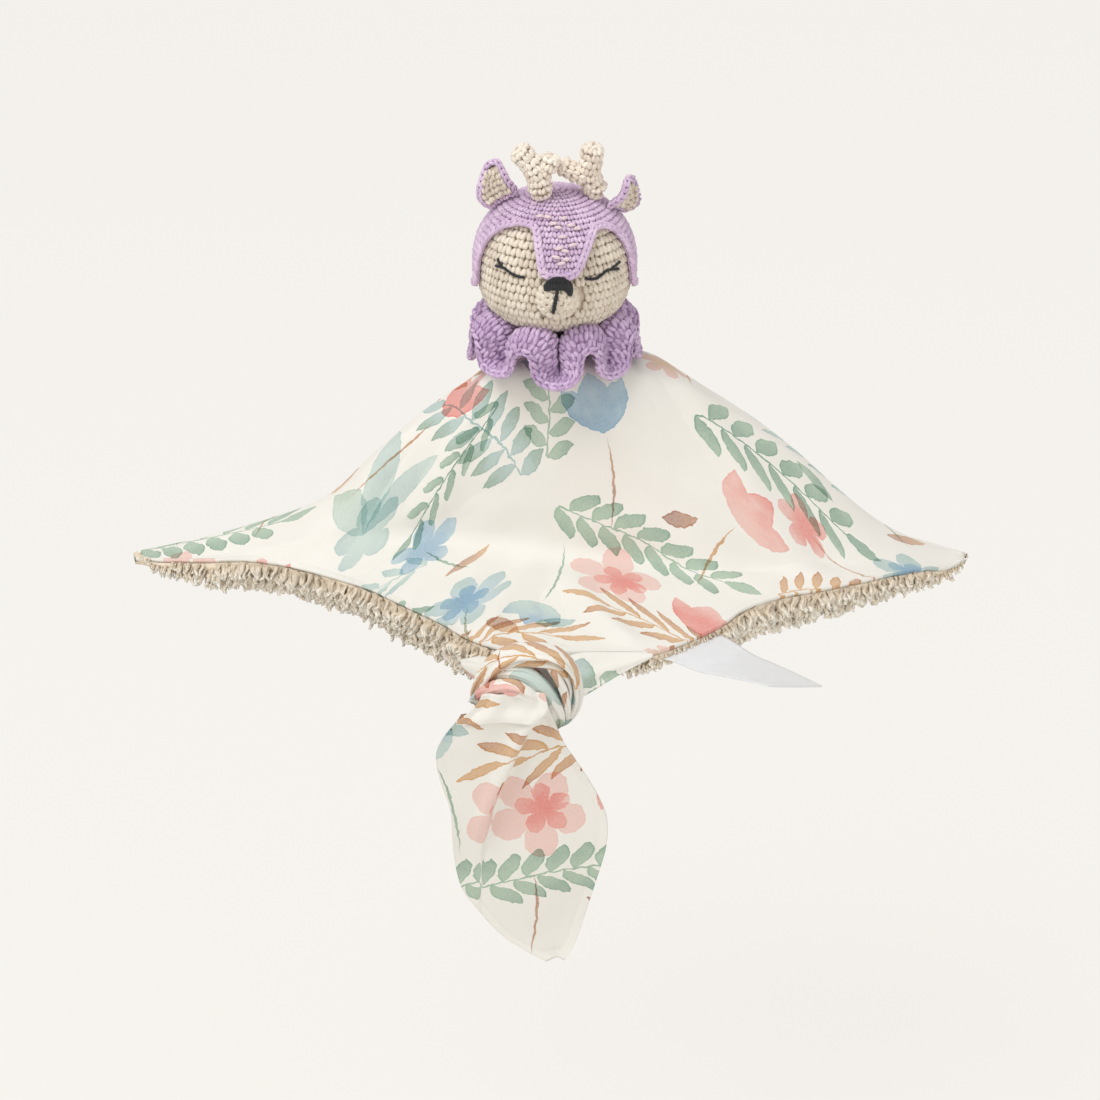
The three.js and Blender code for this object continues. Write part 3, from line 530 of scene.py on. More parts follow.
downs = rows_down(front_rows, back_rows)
stations = np.linspace(-1, 1, cloth_columns)
cloth_top = cloth_grid(stations, downs)
cloth_out = grid_normals(cloth_top)
cloth_cut = flat_places(cloth_top, front_rows - 1)
crown_share = smooth(
    crown_flat_radius, 2 * crown_blend_radius, np.hypot(cloth_top[..., 0], cloth_top[..., 1]))
edge_run = np.minimum(cloth_cut[..., 1] - cloth_cut[:1, :, 1], cloth_cut[-1:, :, 1] - cloth_cut[..., 1])
tip_share = smooth(1, 0.9, np.abs(stations))[None, :]
cloth_rise = pressed_folds(cloth_top, cloth_cut) * crown_share * tip_share
hem_roll_width = 3.0
hem_roll_height = 0.7
hem_groove_depth = 0.35
hem_groove_place = 4.6
hem_groove_width = 0.9
hem_flat_run = 14
cloth_rise = (cloth_rise * smooth(0, hem_flat_run, edge_run)
              + hem_roll_height * np.exp(-(edge_run / hem_roll_width) ** 2))
cloth_rise -= hem_groove_depth * np.exp(-((edge_run - hem_groove_place) / hem_groove_width) ** 2)
cloth_face = cloth_top + cloth_out * cloth_rise[..., None]
cloth_under = cloth_top - cloth_out * print_thickness
cloth_uv = np.concatenate([cloth_cut.reshape(-1, 2), cloth_cut.reshape(-1, 2)]) / cut_unit
cloth_points = np.concatenate([cloth_face.reshape(-1, 3), cloth_under.reshape(-1, 3)])


class Print:
    """The watercolour print, as shapes on the flat cut in millimetres, repeated with a half drop."""

    def __init__(self, finish, offset):
        self.finish = finish
        self.repeat = (212, 188)
        where = finish.node("ShaderNodeUVMap", {"uv_map": "cut"}, {})
        across, down, _ = finish.axes(where)
        wobble = finish.noise(where, 22, 3)
        wobble_x, wobble_y = (wobble - 0.5) * 2.6, (finish.noise(where, 31, 2) - 0.5) * 2.6
        self.across = across * cut_unit + offset[0] + wobble_x
        self.down = down * cut_unit + offset[1] + wobble_y
        self.blot = finish.noise(where, 7, 3, 0.6)
        self.grain = finish.noise(where, 90, 4, 0.7)

    def local(self, at, heading):
        """Places measured from at, with the first axis along the heading in degrees."""
        width, height = self.repeat
        turn = math.radians(heading)
        from_middle = self.across - at[0]
        x = from_middle.sum_of("WRAP", from_middle, width / 2, -width / 2)
        dropped = self.down - at[1] + (from_middle - x) * (height / 2 / width)
        y = dropped.sum_of("WRAP", dropped, height / 2, -height / 2)
        return x * math.cos(turn) + y * math.sin(turn), y * math.cos(turn) - x * math.sin(turn)

    def leaf(self, at, heading, length, half_width, bend=0.0):
        x, y = self.local(at, heading)
        y = abs(y - x * x * bend)
        share = x / length
        return (share * (1 - share) * 4 * half_width) - y, share

    def sprig(self, at, heading, leaves, pitch, leaf_length, half_width, slant, bend=0.0, stem=0.55):
        """A bowed stem with leaves on both sides in turn, and one at its end."""
        length = leaves * pitch
        x, y = self.local(at, heading)
        y = y - x * x * bend
        side = abs(y)
        turn = math.radians(slant)
        root = x - side * (1 / math.tan(turn)) + y.below(0) * (pitch / 2)
        run = side * (1 / (leaf_length * math.sin(turn)))
        off = abs((root * (1 / pitch)).part() - 0.5) * (pitch * math.sin(turn))
        blade = (run * (1 - run) * 4 * half_width) - off
        blade = blade.least(root).least(length - root)
        stalk = (stem - side).least(x).least(length + 1 - x)
        tip = (x - length) * (1 / leaf_length)
        end = (tip * (1 - tip) * 4 * half_width) - side
        return blade.most(stalk).most(end), run.least(1)

    def blossom(self, at, heading, radius, petals, notch):
        x, y = self.local(at, heading)
        reach = (x * x + y * y) ** 0.5
        angle = x.sum_of("ARCTAN2", y, x)
        lobe = abs((angle * (petals / 2)).sum_of("COSINE", angle * (petals / 2))) ** 0.6
        return (lobe * (1 - notch) + notch) * radius - reach, reach * (1 / radius)

    def cup(self, at, heading, length, half_width, opening=19):
        """A flower seen from the side: three petals from one foot."""
        middle, share = self.leaf(at, heading, length, half_width)
        left, _ = self.leaf(at, heading + opening, length * 0.95, half_width * 0.8, 0.006)
        right, _ = self.leaf(at, heading - opening, length * 0.95, half_width * 0.8, -0.006)
        return middle.most(left).most(right), share

    def paint(self, ground, shape, pigment, second, strength, edge=1.1):
        """Transparent paint in a shape: pooled at its edge, uneven, running from one pigment to another."""
        inside, share = shape
        pooled = inside.step(edge, 0)
        cover = inside.step(0, 0.35) * (
            strength * 0.72 + pooled * (0.3 * strength) + (self.grain - 0.5) * 0.5)
        body = self.finish.mixed((share * 0.8 + (self.blot - 0.5) * 1.4).step(0.1, 0.9), pigment, second)
        return self.finish.mixed(cover, ground, body, "MULTIPLY")


sage = colour(150, 190, 164)
deep_sage = colour(104, 158, 134)
blue_grey = colour(160, 198, 202)
pale_teal = colour(190, 220, 219)
ochre = colour(222, 168, 98)
dark_ochre = colour(190, 122, 66)
coral = colour(240, 108, 96)
blush = colour(248, 190, 184)
sky_blue = colour(118, 174, 214)
pale_blue = colour(178, 212, 232)
brown = colour(160, 94, 66)
cotton_white = colour(240, 237, 229)

# The motifs from the first painted to the last: [shape, place, heading, form, pigment, second, strength]
motifs = [
    ["leaf", (120, 56), 62, (44, 8, 0.002), pale_teal, blue_grey, 0.85],
    ["leaf", (120, 56), 20, (38, 7, -0.003), blue_grey, pale_teal, 0.8],
    ["leaf", (120, 56), 104, (36, 7, 0.004), pale_teal, sage, 0.75],
    ["blossom", (122, 54), 12, (16, 5, 0.5), pale_teal, blue_grey, 0.85],
    ["blossom", (28, 66), 10, (22, 5, 0.42), blush, blush, 0.8],
    ["blossom", (31, 64), 44, (13, 5, 0.3), coral, blush, 0.85],
    ["blossom", (172, 150), 40, (21, 6, 0.4), pale_blue, blue_grey, 0.9],
    ["blossom", (170, 152), 8, (12, 5, 0.35), sky_blue, pale_blue, 0.9],
    ["sprig", (2, 104), -18, (7, 11, 17, 4.0, 52, 0.002), sage, deep_sage, 0.95],
    ["sprig", (104, 20), 176, (6, 13, 25, 2.7, 36, -0.002), ochre, dark_ochre, 1.0],
    ["sprig", (196, 26), 112, (6, 12, 16, 4.2, 64, 0.002), blue_grey, deep_sage, 0.9],
    ["sprig", (66, 168), 4, (6, 12, 18, 3.8, 54, -0.002), deep_sage, sage, 0.95],
    ["sprig", (146, 118), 336, (5, 13, 23, 2.6, 38, 0.003), ochre, dark_ochre, 1.0],
    ["sprig", (208, 34), 82, (4, 11, 15, 3.8, 56, 0.003), sage, deep_sage, 0.9],
    ["sprig", (104, 96), 48, (5, 10, 14, 2.2, 44, -0.004), ochre, dark_ochre, 0.95],
    ["sprig", (186, 66), 204, (5, 10, 13, 2.6, 50, 0.004), deep_sage, sage, 0.9],
    ["sprig", (152, 8), 172, (4, 11, 17, 2.4, 44, 0.003), pale_teal, blue_grey, 0.95],
    ["cup", (66, 36), 78, (31, 9.5, 21), coral, blush, 1.0],
    ["cup", (86, 128), 52, (26, 8.0, 34), blush, coral, 0.95],
    ["cup", (24, 142), 108, (29, 9.0, 24), sky_blue, pale_blue, 1.0],
    ["cup", (158, 84), 20, (26, 7.6, 30), coral, blush, 0.95],
    ["cup", (206, 132), 250, (22, 6.8, 32), pale_teal, sky_blue, 0.95],
    ["blossom", (150, 22), 20, (16, 5, 0.38), sky_blue, pale_blue, 0.95],
    ["blossom", (118, 150), 30, (13, 5, 0.36), coral, blush, 0.95],
    ["blossom", (52, 4), 50, (12, 6, 0.34), ochre, blush, 0.8],
    ["leaf", (66, 36), 258, (44, 0.8, 0.004), dark_ochre, ochre, 0.9],
    ["leaf", (24, 142), 286, (48, 0.8, -0.005), dark_ochre, brown, 0.85],
    ["leaf", (86, 128), 236, (52, 0.8, 0.004), ochre, dark_ochre, 0.9],
    ["leaf", (158, 84), 196, (46, 0.8, -0.004), dark_ochre, ochre, 0.9],
    ["leaf", (206, 132), 64, (50, 0.8, 0.005), deep_sage, sage, 0.85],
    ["leaf", (150, 22), 292, (40, 0.8, 0.006), deep_sage, sage, 0.85],
    ["leaf", (172, 150), 262, (52, 0.8, 0.005), deep_sage, ochre, 0.85],
    ["leaf", (118, 150), 330, (56, 0.7, 0.006), dark_ochre, ochre, 0.85],
    ["leaf", (50, 110), 24, (20, 3.6, 0.004), brown, dark_ochre, 0.95],
    ["leaf", (196, 104), 130, (22, 4.2, 0.003), ochre, brown, 0.9],
    ["leaf", (134, 176), 160, (19, 3.6, 0.003), deep_sage, sage, 0.9],
    ["leaf", (10, 24), 200, (20, 4.0, -0.004), blue_grey, deep_sage, 0.9],
    ["leaf", (160, 180), 20, (24, 3.4, 0.005), dark_ochre, ochre, 0.9],
]


def printed_cotton(name, offset):
    finish = Finish(name, 0.85, Sheen_Weight=0.15, Sheen_Roughness=0.5)
    art = Print(finish, offset)
    shapes = {"leaf": art.leaf, "sprig": art.sprig, "blossom": art.blossom, "cup": art.cup}
    face = cotton_white
    for shape, place, heading, form, pigment, second, strength in motifs:
        face = art.paint(face, shapes[shape](place, heading, *form), pigment, second, strength)
    shade = finish.noise(finish.place(), 60, 3)
    face = finish.mixed(shade.step(0.3, 0.8) * 0.05, face, colour(205, 198, 184), "MULTIPLY")
    finish.set("Base Color", face)
    # Plain weave: warp and weft threads about a third of a millimetre apart
    where = finish.node("ShaderNodeUVMap", {"uv_map": "cut"}, {})
    across, down, _ = finish.axes(where)
    thread = 2 * math.pi / 0.0036
    weave = (across * thread).wave() * (down * thread).wave() + (art.grain - 0.5) * 0.8
    finish.bump(weave, 0.00006, 0.5)
    return finish


cotton = printed_cotton("printed_cotton", (0, 0))
cloth_faces = sheet_faces(len(downs), cloth_columns)
printed_cloth = make_piece("printed_cloth", cloth_points, cloth_faces, cotton, cloth_uv)
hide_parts("blanket_top")
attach(printed_cloth, "blanket")

# THE PLUSH
# The lower layer: a knitted ground with long beige pile in curling tufts, sewn to the cotton round the edge.
# Its tufts hang out under the hem as a deep fringe, and cover the underside but for a strip along the ridge.
backing_top = print_thickness + touching_gap
ground_thickness = 4.0
plush_columns = 121
plush_downs = rows_down(60, 44)
plush_stations = np.linspace(-1, 1, plush_columns)
plush_top = cloth_grid(plush_stations, plush_downs)
plush_out = grid_normals(plush_top)
near_crown = smooth(2 * crown_blend_radius, crown_flat_radius, np.hypot(plush_top[..., 0], plush_top[..., 1]))
tip_thin = along(pile_shares, plush_stations)[None, :]
rim_thickness = 12.0
rim_run = 15
fullness_shares = [
    [-1, 0.1], [-0.97, 0.16], [-0.916, 0.26], [-0.856, 0.5],
    [-0.8, 0.64], [-0.7, 0.76], [-0.61, 0.92], [-0.4, 1],
    [-0.2, 1], [-0.1, 0.7], [0.06, 0.3], [0.2, 0.4], [0.25, 0.1], [0.36, 0.1], [0.39, 0.7], [0.6, 0.76],
    [0.735, 0.6], [0.856, 0.45], [0.95, 0.25], [1, 0.1],
]
fullness = along(fullness_shares, plush_stations)
plush_run = run_along(plush_top)
near_rim = smooth(rim_run, 0, np.minimum(plush_run, plush_run[-1:] - plush_run))
ground_depth = lerp(1.2, ground_thickness, tip_thin)
ground_depth = np.maximum(ground_depth, near_rim * rim_thickness * fullness)
ground_depth = lerp(ground_depth, crown_pile_thickness - 1.5, near_crown)
ground_upper = plush_top - plush_out * backing_top
ground_lower = ground_upper - plush_out * ground_depth[..., None]
ground_points = np.concatenate([ground_upper.reshape(-1, 3), ground_lower.reshape(-1, 3)])
# The pile is darker at its roots and paler at its tips: the darker roots are painted shade deep in the pile.
shaded_pile_root = colour(226, 209, 184)
plush_mid = colour(250, 239, 220)
plush_tip = colour(255, 250, 238)

pile = Finish("teddy_pile", 0.95, Sheen_Weight=0.25, Sheen_Roughness=0.6)
tuft_run = pile.attribute("tuft_run", "Fac")
tuft_shade = pile.attribute("tuft_shade", "Fac")
# From root to tip the colour lightens: painted shade low in each tuft.
pile_colour = pile.mixed(tuft_run.step(0.0, 0.75), shaded_pile_root, plush_mid)
pile_colour = pile.mixed(tuft_run.step(0.4, 1.0) * (0.35 + tuft_shade * 0.65), pile_colour, plush_tip)
pile_colour = pile.mixed(tuft_shade.step(0.5, 0.0) * 0.1, pile_colour, shaded_pile_root, "MULTIPLY")
pile.set("Base Color", pile_colour)
pile.bump(pile.noise(pile.place(), 2600, 2), 0.0002, 0.4)

# The ground is mottled between the pile's root colour, painted shade under the pile, and its middle colour.
ground = Finish("plush_ground", 0.95)
ground_spots = ground.noise(ground.place(), 420, 3)
ground.set("Base Color", ground.mixed(ground_spots, shaded_pile_root, plush_mid))
ground.bump(ground_spots, 0.001, 0.8)
plush_ground = make_piece("plush_ground", ground_points, sheet_faces(len(plush_downs), plush_columns), ground)
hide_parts("blanket_backing")
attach(plush_ground, "blanket")


def tuft(name, seed, strands, steps, spread, length, curl, thickness, wave=0.0):
    """One tuft: strands that lean and wave together and curl over at their ends, three-sided and tapered."""
    chance = random.Random(seed)
    points = []
    faces = []
    run = []
    sides = 3
    curl_turn = chance.uniform(0, 2 * math.pi)
    curl_way = Vector((math.cos(curl_turn), math.sin(curl_turn), 0))
    wave_way = Vector((-math.sin(curl_turn), math.cos(curl_turn), 0)) * wave
    wave_start = chance.uniform(0, 2 * math.pi)
    for _ in range(strands):
        angle = chance.uniform(0, 2 * math.pi)
        root = Vector((math.cos(angle), math.sin(angle), 0)) * spread * math.sqrt(chance.random())
        reach = length * chance.uniform(0.75, 1.1)
        own = Vector((chance.uniform(-1, 1), chance.uniform(-1, 1), 0)) * curl * 0.45
        first = len(points)
        for s in range(steps + 1):
            t = s / steps
            middle = root * (1 - 0.55 * t) + Vector((0, 0, reach * (t - 0.16 * t ** 3)))
            middle += (curl_way * curl + own) * (t ** 2) + own * math.sin(t * 5) * 0.3
            middle += wave_way * math.sin(wave_start + t * 7)
            radius = thickness * (1 - 0.45 * t ** 5)
            for k in range(sides):
                turn = 2 * math.pi * k / sides + t * 2
                points.append(middle + Vector((math.cos(turn), math.sin(turn), 0)) * radius)
                run.append(t)
        faces += ring_faces(steps + 1, sides, first)
        end = first + steps * sides
        faces.append((end, end + 1, end + 2))
        faces.append((first + 2, first + 1, first))
    made = make_piece(name, [list(point) for point in points], faces)
    layer = made.data.attributes.new("tuft_run", "FLOAT", "POINT")
    layer.data.foreach_set("value", run)
    return made


def node_tree(name, sockets):
    """An empty geometry tree with the named inputs, and its ends."""
    tree = bpy.data.node_groups.new(name, "GeometryNodeTree")
    tree.interface.new_socket("Geometry", in_out="INPUT", socket_type="NodeSocketGeometry")
    tree.interface.new_socket("Geometry", in_out="OUTPUT", socket_type="NodeSocketGeometry")
    for label, kind in sockets:
        tree.interface.new_socket(label, in_out="INPUT", socket_type=kind)
    return tree, tree.nodes.new("NodeGroupInput"), tree.nodes.new("NodeGroupOutput")


def wired(tree, kind, inputs, **settings):
    """A node with its settings, each of its inputs linked to a socket or given a value."""
    node = tree.nodes.new(kind)
    for key, value in settings.items():
        setattr(node, key, value)
    for key, value in inputs.items():
        if isinstance(value, bpy.types.NodeSocket):
            tree.links.new(value, node.inputs[key])
        else:
            node.inputs[key].default_value = value
    return node


def set_inputs(modifier, tree, values):
    for item in tree.interface.items_tree:
        if item.in_out == "INPUT" and item.name in values:
            modifier[item.identifier] = values[item.name]


def grown(name, seedbed, tree, values):
    """A plain mesh made by a geometry tree on a seedbed, which it uses up."""
    modifier = seedbed.modifiers.new(name, "NODES")
    modifier.node_group = tree
    set_inputs(modifier, tree, values)
    bpy.context.view_layer.update()
    ready = seedbed.evaluated_get(bpy.context.evaluated_depsgraph_get())
    mesh = bpy.data.meshes.new_from_object(ready)
    seedbed.modifiers.clear()
    made = bpy.data.objects.new(name, mesh)
    mesh.name = name
    bpy.context.scene.collection.objects.link(made)
    bpy.data.objects.remove(seedbed)
    return made


pile_tree, pile_in, pile_out = node_tree("pile", [
    ("Tufts", "NodeSocketCollection"), ("Density", "NodeSocketFloat"), ("Droop", "NodeSocketFloat"),
    ("Least size", "NodeSocketFloat"), ("Most size", "NodeSocketFloat"), ("Seed", "NodeSocketInt"),
    ("Yarn", "NodeSocketMaterial"),
])
stray_reach = 0.35
given = pile_in.outputs
scatter = wired(pile_tree, "GeometryNodeDistributePointsOnFaces", {
    "Mesh": given["Geometry"], "Density": given["Density"], "Seed": given["Seed"]})
turned_down = wired(pile_tree, "ShaderNodeMath", {0: given["Droop"], 1: -1}, operation="MULTIPLY")
hang = wired(pile_tree, "ShaderNodeCombineXYZ", {"Z": turned_down.outputs[0]})
lean = wired(pile_tree, "ShaderNodeVectorMath", {
    0: scatter.outputs["Normal"], 1: hang.outputs[0]}, operation="ADD")
stray = wired(pile_tree, "FunctionNodeRandomValue", {
    "Min": (-stray_reach,) * 3, "Max": (stray_reach,) * 3, "Seed": 5}, data_type="FLOAT_VECTOR")
strayed = wired(pile_tree, "ShaderNodeVectorMath", {
    0: lean.outputs[0], 1: stray.outputs[0]}, operation="ADD")
aimed = wired(pile_tree, "FunctionNodeAlignRotationToVector", {"Vector": strayed.outputs[0]}, axis="Z")
tufts = wired(pile_tree, "GeometryNodeCollectionInfo", {
    "Collection": given["Tufts"], "Separate Children": True, "Reset Children": True})
size = wired(pile_tree, "FunctionNodeRandomValue", {
    2: given["Least size"], 3: given["Most size"]}, data_type="FLOAT")
fuller = wired(pile_tree, "GeometryNodeInputNamedAttribute", {"Name": "fullness"}, data_type="FLOAT")
own_size = wired(pile_tree, "ShaderNodeMath", {
    0: size.outputs[1], 1: fuller.outputs["Attribute"]}, operation="MULTIPLY")
shade_of_tuft = wired(pile_tree, "FunctionNodeRandomValue", {"Seed": 9}, data_type="FLOAT")
note = wired(pile_tree, "GeometryNodeStoreNamedAttribute", {
    "Geometry": scatter.outputs["Points"], "Name": "tuft_shade", "Value": shade_of_tuft.outputs[1]},
    data_type="FLOAT", domain="POINT")
plant = wired(pile_tree, "GeometryNodeInstanceOnPoints", {
    "Points": note.outputs[0], "Instance": tufts.outputs[0], "Pick Instance": True,
    "Rotation": aimed.outputs[0], "Scale": own_size.outputs[0]})
real = wired(pile_tree, "GeometryNodeRealizeInstances", {0: plant.outputs[0]})
dye = wired(pile_tree, "GeometryNodeSetMaterial", {"Geometry": real.outputs[0], "Material": given["Yarn"]})
pile_tree.links.new(dye.outputs[0], pile_out.inputs[0])


def shelf(name, things):
    """A collection that only holds shapes to be copied; it isn't part of the scene."""
    kept = bpy.data.collections.new(name)
    for thing in things:
        bpy.context.scene.collection.objects.unlink(thing)
        kept.objects.link(thing)
    return kept


fringe_tufts = shelf("fringe_tufts", [
    tuft(f"fringe_tuft_{k}", 40 + k, strands=3, steps=8, spread=1.3, length=9.2, curl=0.7 + 0.3 * k,
         thickness=1.2, wave=0.9) for k in range(6)])
lining_tufts = shelf("lining_tufts", [
    tuft(f"lining_tuft_{k}", 60 + k, strands=6, steps=3, spread=2.4, length=8.0, curl=1.8,
         thickness=0.75) for k in range(3)])


def seedbed(name, grid, full=1.0):
    """A patch of faces on which pile grows, out of its front side, as full as is said for each point."""
    rows, columns = grid.shape[:2]
    faces = []
    for r in range(rows - 1):
        for c in range(columns - 1):
            a = r * columns + c
            faces.append((a, a + 1, a + columns + 1, a + columns))
    bed = make_piece(name, grid, faces)
    layer = bed.data.attributes.new("fullness", "FLOAT", "POINT")
    layer.data.foreach_set("value", np.broadcast_to(full, (rows, columns)).astype(float).ravel())
    return bed


hem_pile_out = 0.9
hem_pile_up = 1.0


def hem_patch(edge_row, inner_rows, low, high, way):
    """The rim of the plush ground between two stations and the underside behind it, with its fullness."""
    columns = slice(int(low * (plush_columns - 1)), int(high * (plush_columns - 1)) + 1)
    hem = ground_upper[edge_row, columns]
    outwards = hem - ground_upper[inner_rows[0], columns]
    outside = hem_pile_out * outwards / np.linalg.norm(outwards, axis=-1, keepdims=True)
    outside = outside + (0, 0, hem_pile_up)
    lines = [hem + outside, ground_lower[edge_row, columns]]
    patch = np.stack(lines + [ground_lower[row, columns] for row in inner_rows])
    return patch[:, ::way], lerp(0.3, 1.0, np.minimum(1, fullness[columns] * 1.15))[::way]


fringes = [
    ("left_fringe", hem_patch(0, range(1, 5), 0.0, 0.47, -1)),
    ("right_fringe", hem_patch(0, range(1, 5), 0.47, 1.0, -1)),
    ("back_left_fringe", hem_patch(-1, range(-2, -6, -1), 0.0, 0.5, 1)),
    ("back_right_fringe", hem_patch(-1, range(-2, -6, -1), 0.5, 1.0, 1)),
]
per_square_mm = 1 / (mm * mm)


def plush_pile(name, bed, tufts, density, droop, sizes, seed, body):
    """Pile of some tufts on a seedbed, so many to a square millimetre, as part of the plush."""
    values = {"Tufts": tufts, "Density": density * per_square_mm, "Droop": droop, "Least size": sizes[0],
              "Most size": sizes[1], "Seed": seed, "Yarn": pile.material}
    made = grown(name, bed, pile_tree, values)
    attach(made, body)
    return made


for number, (name, (patch, full)) in enumerate(fringes):
    bed = seedbed(name + "_bed", patch, full)
    plush_pile(name, bed, fringe_tufts, 0.21, 2.0, (0.85, 1.1), 11 + number, "blanket")
for number, (name, rows) in enumerate([
        ("front_lining_pile", slice(3, 50)), ("back_lining_pile", slice(69, 101))]):
    bed = seedbed(name + "_bed", ground_lower[rows, 4:-4][:, ::-1])
    plush_pile(name, bed, lining_tufts, 0.042, 0.15, (0.7, 1.1), 21 + number, "blanket")


# THE YARN AND ITS STITCHES
# The head, hood, ears, antlers and collar are crocheted in cotton yarn: every round is a row of stitches,
# each two legs of yarn that meet at their feet.


def tube(line, radii, sides):
    """A closed tube along a line: its points, its faces, and each point's place along and around the yarn."""
    line = np.asarray(line, float)
    radii = np.broadcast_to(np.asarray(radii, float), (len(line),))
    tangents = np.gradient(line, axis=0)
    tangents /= np.linalg.norm(tangents, axis=1, keepdims=True) + 1e-12
    run = run_along(line)
    side = np.cross(tangents[0], (0, 0, 1) if abs(tangents[0][2]) < 0.9 else (1, 0, 0))
    turns = np.arange(sides) / sides * 2 * math.pi
    points = []
    ply = []
    for at, tangent, radius, place in zip(line, tangents, radii, run):
        side = side - tangent * (side @ tangent)
        side /= np.linalg.norm(side)
        other = np.cross(tangent, side)
        for turn in turns:
            points.append(at + radius * (math.cos(turn) * side + math.sin(turn) * other))
            # The third yarn place is 1, the top, so a plain tube gets none of the yarn's painted hollow
            # shade.
            ply.append((place, turn / (2 * math.pi), 1))
    faces = ring_faces(len(line), sides)
    faces.append(tuple(range(sides - 1, -1, -1)))
    faces.append(tuple((len(line) - 1) * sides + k for k in range(sides)))
    return points, faces, ply


def joined(tubes):
    """Many tubes as one list of points, faces and yarn places."""
    points = []
    faces = []
    ply = []
    for some_points, some_faces, some_ply in tubes:
        first = len(points)
        points += list(some_points)
        ply += list(some_ply)
        faces += [tuple(first + k for k in face) for face in some_faces]
    return points, faces, ply


def yarn_piece(name, tubes, finish):
    points, faces, ply = joined(tubes)
    made = make_piece(name, points, faces, finish)
    layer = made.data.attributes.new("ply", "FLOAT_VECTOR", "POINT")
    layer.data.foreach_set("vector", np.asarray(ply, float).ravel())
    return made


def yarn(name, base, shade, plies=3, lay=2.6, depth=0.10, spread=0.5, painted_hollow_shade=0.5):
    """Plied matt cotton yarn: its plies show as a slanting rope pattern, and each stitch differs a little.
    Its ply grooves and the low parts of each stitch are darkened as painted shade.
    """
    finish = Finish(name, 0.85, Sheen_Weight=0.25, Sheen_Roughness=0.5)
    along_yarn, around_yarn, _ = finish.axes(finish.attribute("ply"))
    twist = ((along_yarn * (1 / lay) + around_yarn * plies) * (2 * math.pi)).wave()
    fuzz = finish.noise(finish.place(), 1800, 3, 0.7)
    broad = finish.noise(finish.place(), 45, 2)
    own = finish.attribute("stitch_shade", "Fac")
    rise = finish.axes(finish.attribute("ply"))[2]
    # The ply wave in the tone makes the plies' crests lighter and their grooves darker: painted shade.
    tone = own * spread + (1 - spread) * 0.5 + (fuzz - 0.5) * 0.5 + (broad - 0.5) * 0.4 + twist * 0.10
    face = finish.mixed(tone.step(0.0, 1.0), shade, base)
    # Low in each stitch the colour is multiplied towards the shade colour: painted shade in the hollows
    # between stitches.
    finish.set("Base Color", finish.mixed(rise.step(0.55, 0.0) * painted_hollow_shade, face, shade, "MULTIPLY"))
    finish.bump(twist * 0.5 + fuzz * 0.7, depth * mm, 0.9)
    return finish


lilac = yarn("lilac_yarn", colour(231, 208, 231), colour(199, 171, 203), painted_hollow_shade=0.35)
# The frill's yarn is a darker copy of the lilac yarn with stronger hollow shade: painted shade in and under
# the frill's waves.
shaded_frill_lilac = yarn("lilac_yarn_frill_shaded", colour(222, 196, 228), colour(178, 148, 186), painted_hollow_shade=0.85)
cream = yarn("cream_yarn", colour(239, 229, 213), colour(212, 199, 181))
antler_cream = yarn("antler_yarn", colour(250, 241, 228), colour(226, 211, 194))

crochet_tree, crochet_in, crochet_out = node_tree("crochet", [
    ("Stitch", "NodeSocketObject"), ("Yarn", "NodeSocketMaterial"),
])


def row_attribute(label):
    node = wired(
        crochet_tree, "GeometryNodeInputNamedAttribute", {"Name": label}, data_type="FLOAT_VECTOR")
    return node.outputs["Attribute"]


facing = wired(crochet_tree, "FunctionNodeAxesToRotation", {
    "Primary Axis": row_attribute("row_out"), "Secondary Axis": row_attribute("row_up")},
    primary_axis="Z", secondary_axis="Y")
one_stitch = wired(crochet_tree, "GeometryNodeObjectInfo", {
    "Object": crochet_in.outputs["Stitch"], "As Instance": True})
work = wired(crochet_tree, "GeometryNodeInstanceOnPoints", {
    "Points": crochet_in.outputs["Geometry"], "Instance": one_stitch.outputs["Geometry"],
    "Rotation": facing.outputs[0], "Scale": row_attribute("row_size")})
last_step = work.outputs[0]
for label in ("row_out", "row_up", "row_size"):
    last_step = wired(
        crochet_tree, "GeometryNodeRemoveAttribute", {"Geometry": last_step, "Name": label}).outputs[0]
worked = wired(crochet_tree, "GeometryNodeRealizeInstances", {0: last_step})
dyed = wired(crochet_tree, "GeometryNodeSetMaterial", {
    "Geometry": worked.outputs[0], "Material": crochet_in.outputs["Yarn"]})
crochet_tree.links.new(dyed.outputs[0], crochet_out.inputs[0])


def stitch(name, width, height, leg_radius, lift=0.55, sides=8, steps=6, lean=0.16):
    """One stitch, about its middle: width along the round, height up it, and its front along +Z."""
    legs = []
    for way in (-1, 1):
        line = []
        swell = []
        for s in range(steps + 1):
            t = s / steps
            x = way * width * (0.25 + lean * (t - 0.5))
            y = height * (-0.52 + 1.0 * t)
            z = leg_radius * lift * (0.5 - 1.3 * t * t)
            line.append((x, y, z))
            swell.append(leg_radius * min(1, 0.66 + 1.6 * t, 0.55 + 1.1 * (1 - t)))
        points, faces, ply = tube(line, swell, sides)
        # Each point's third yarn place is its height in the stitch, by which the yarn paints shade low down.
        low = min(point[2] for point in points)
        tall = max(point[2] for point in points) - low
        ply = [(along_yarn, around_yarn, (point[2] - low) / tall)
               for point, (along_yarn, around_yarn, _) in zip(points, ply)]
        legs.append((points, faces, ply))
    made = yarn_piece(name, legs, None)
    bpy.context.scene.collection.objects.unlink(made)
    return made


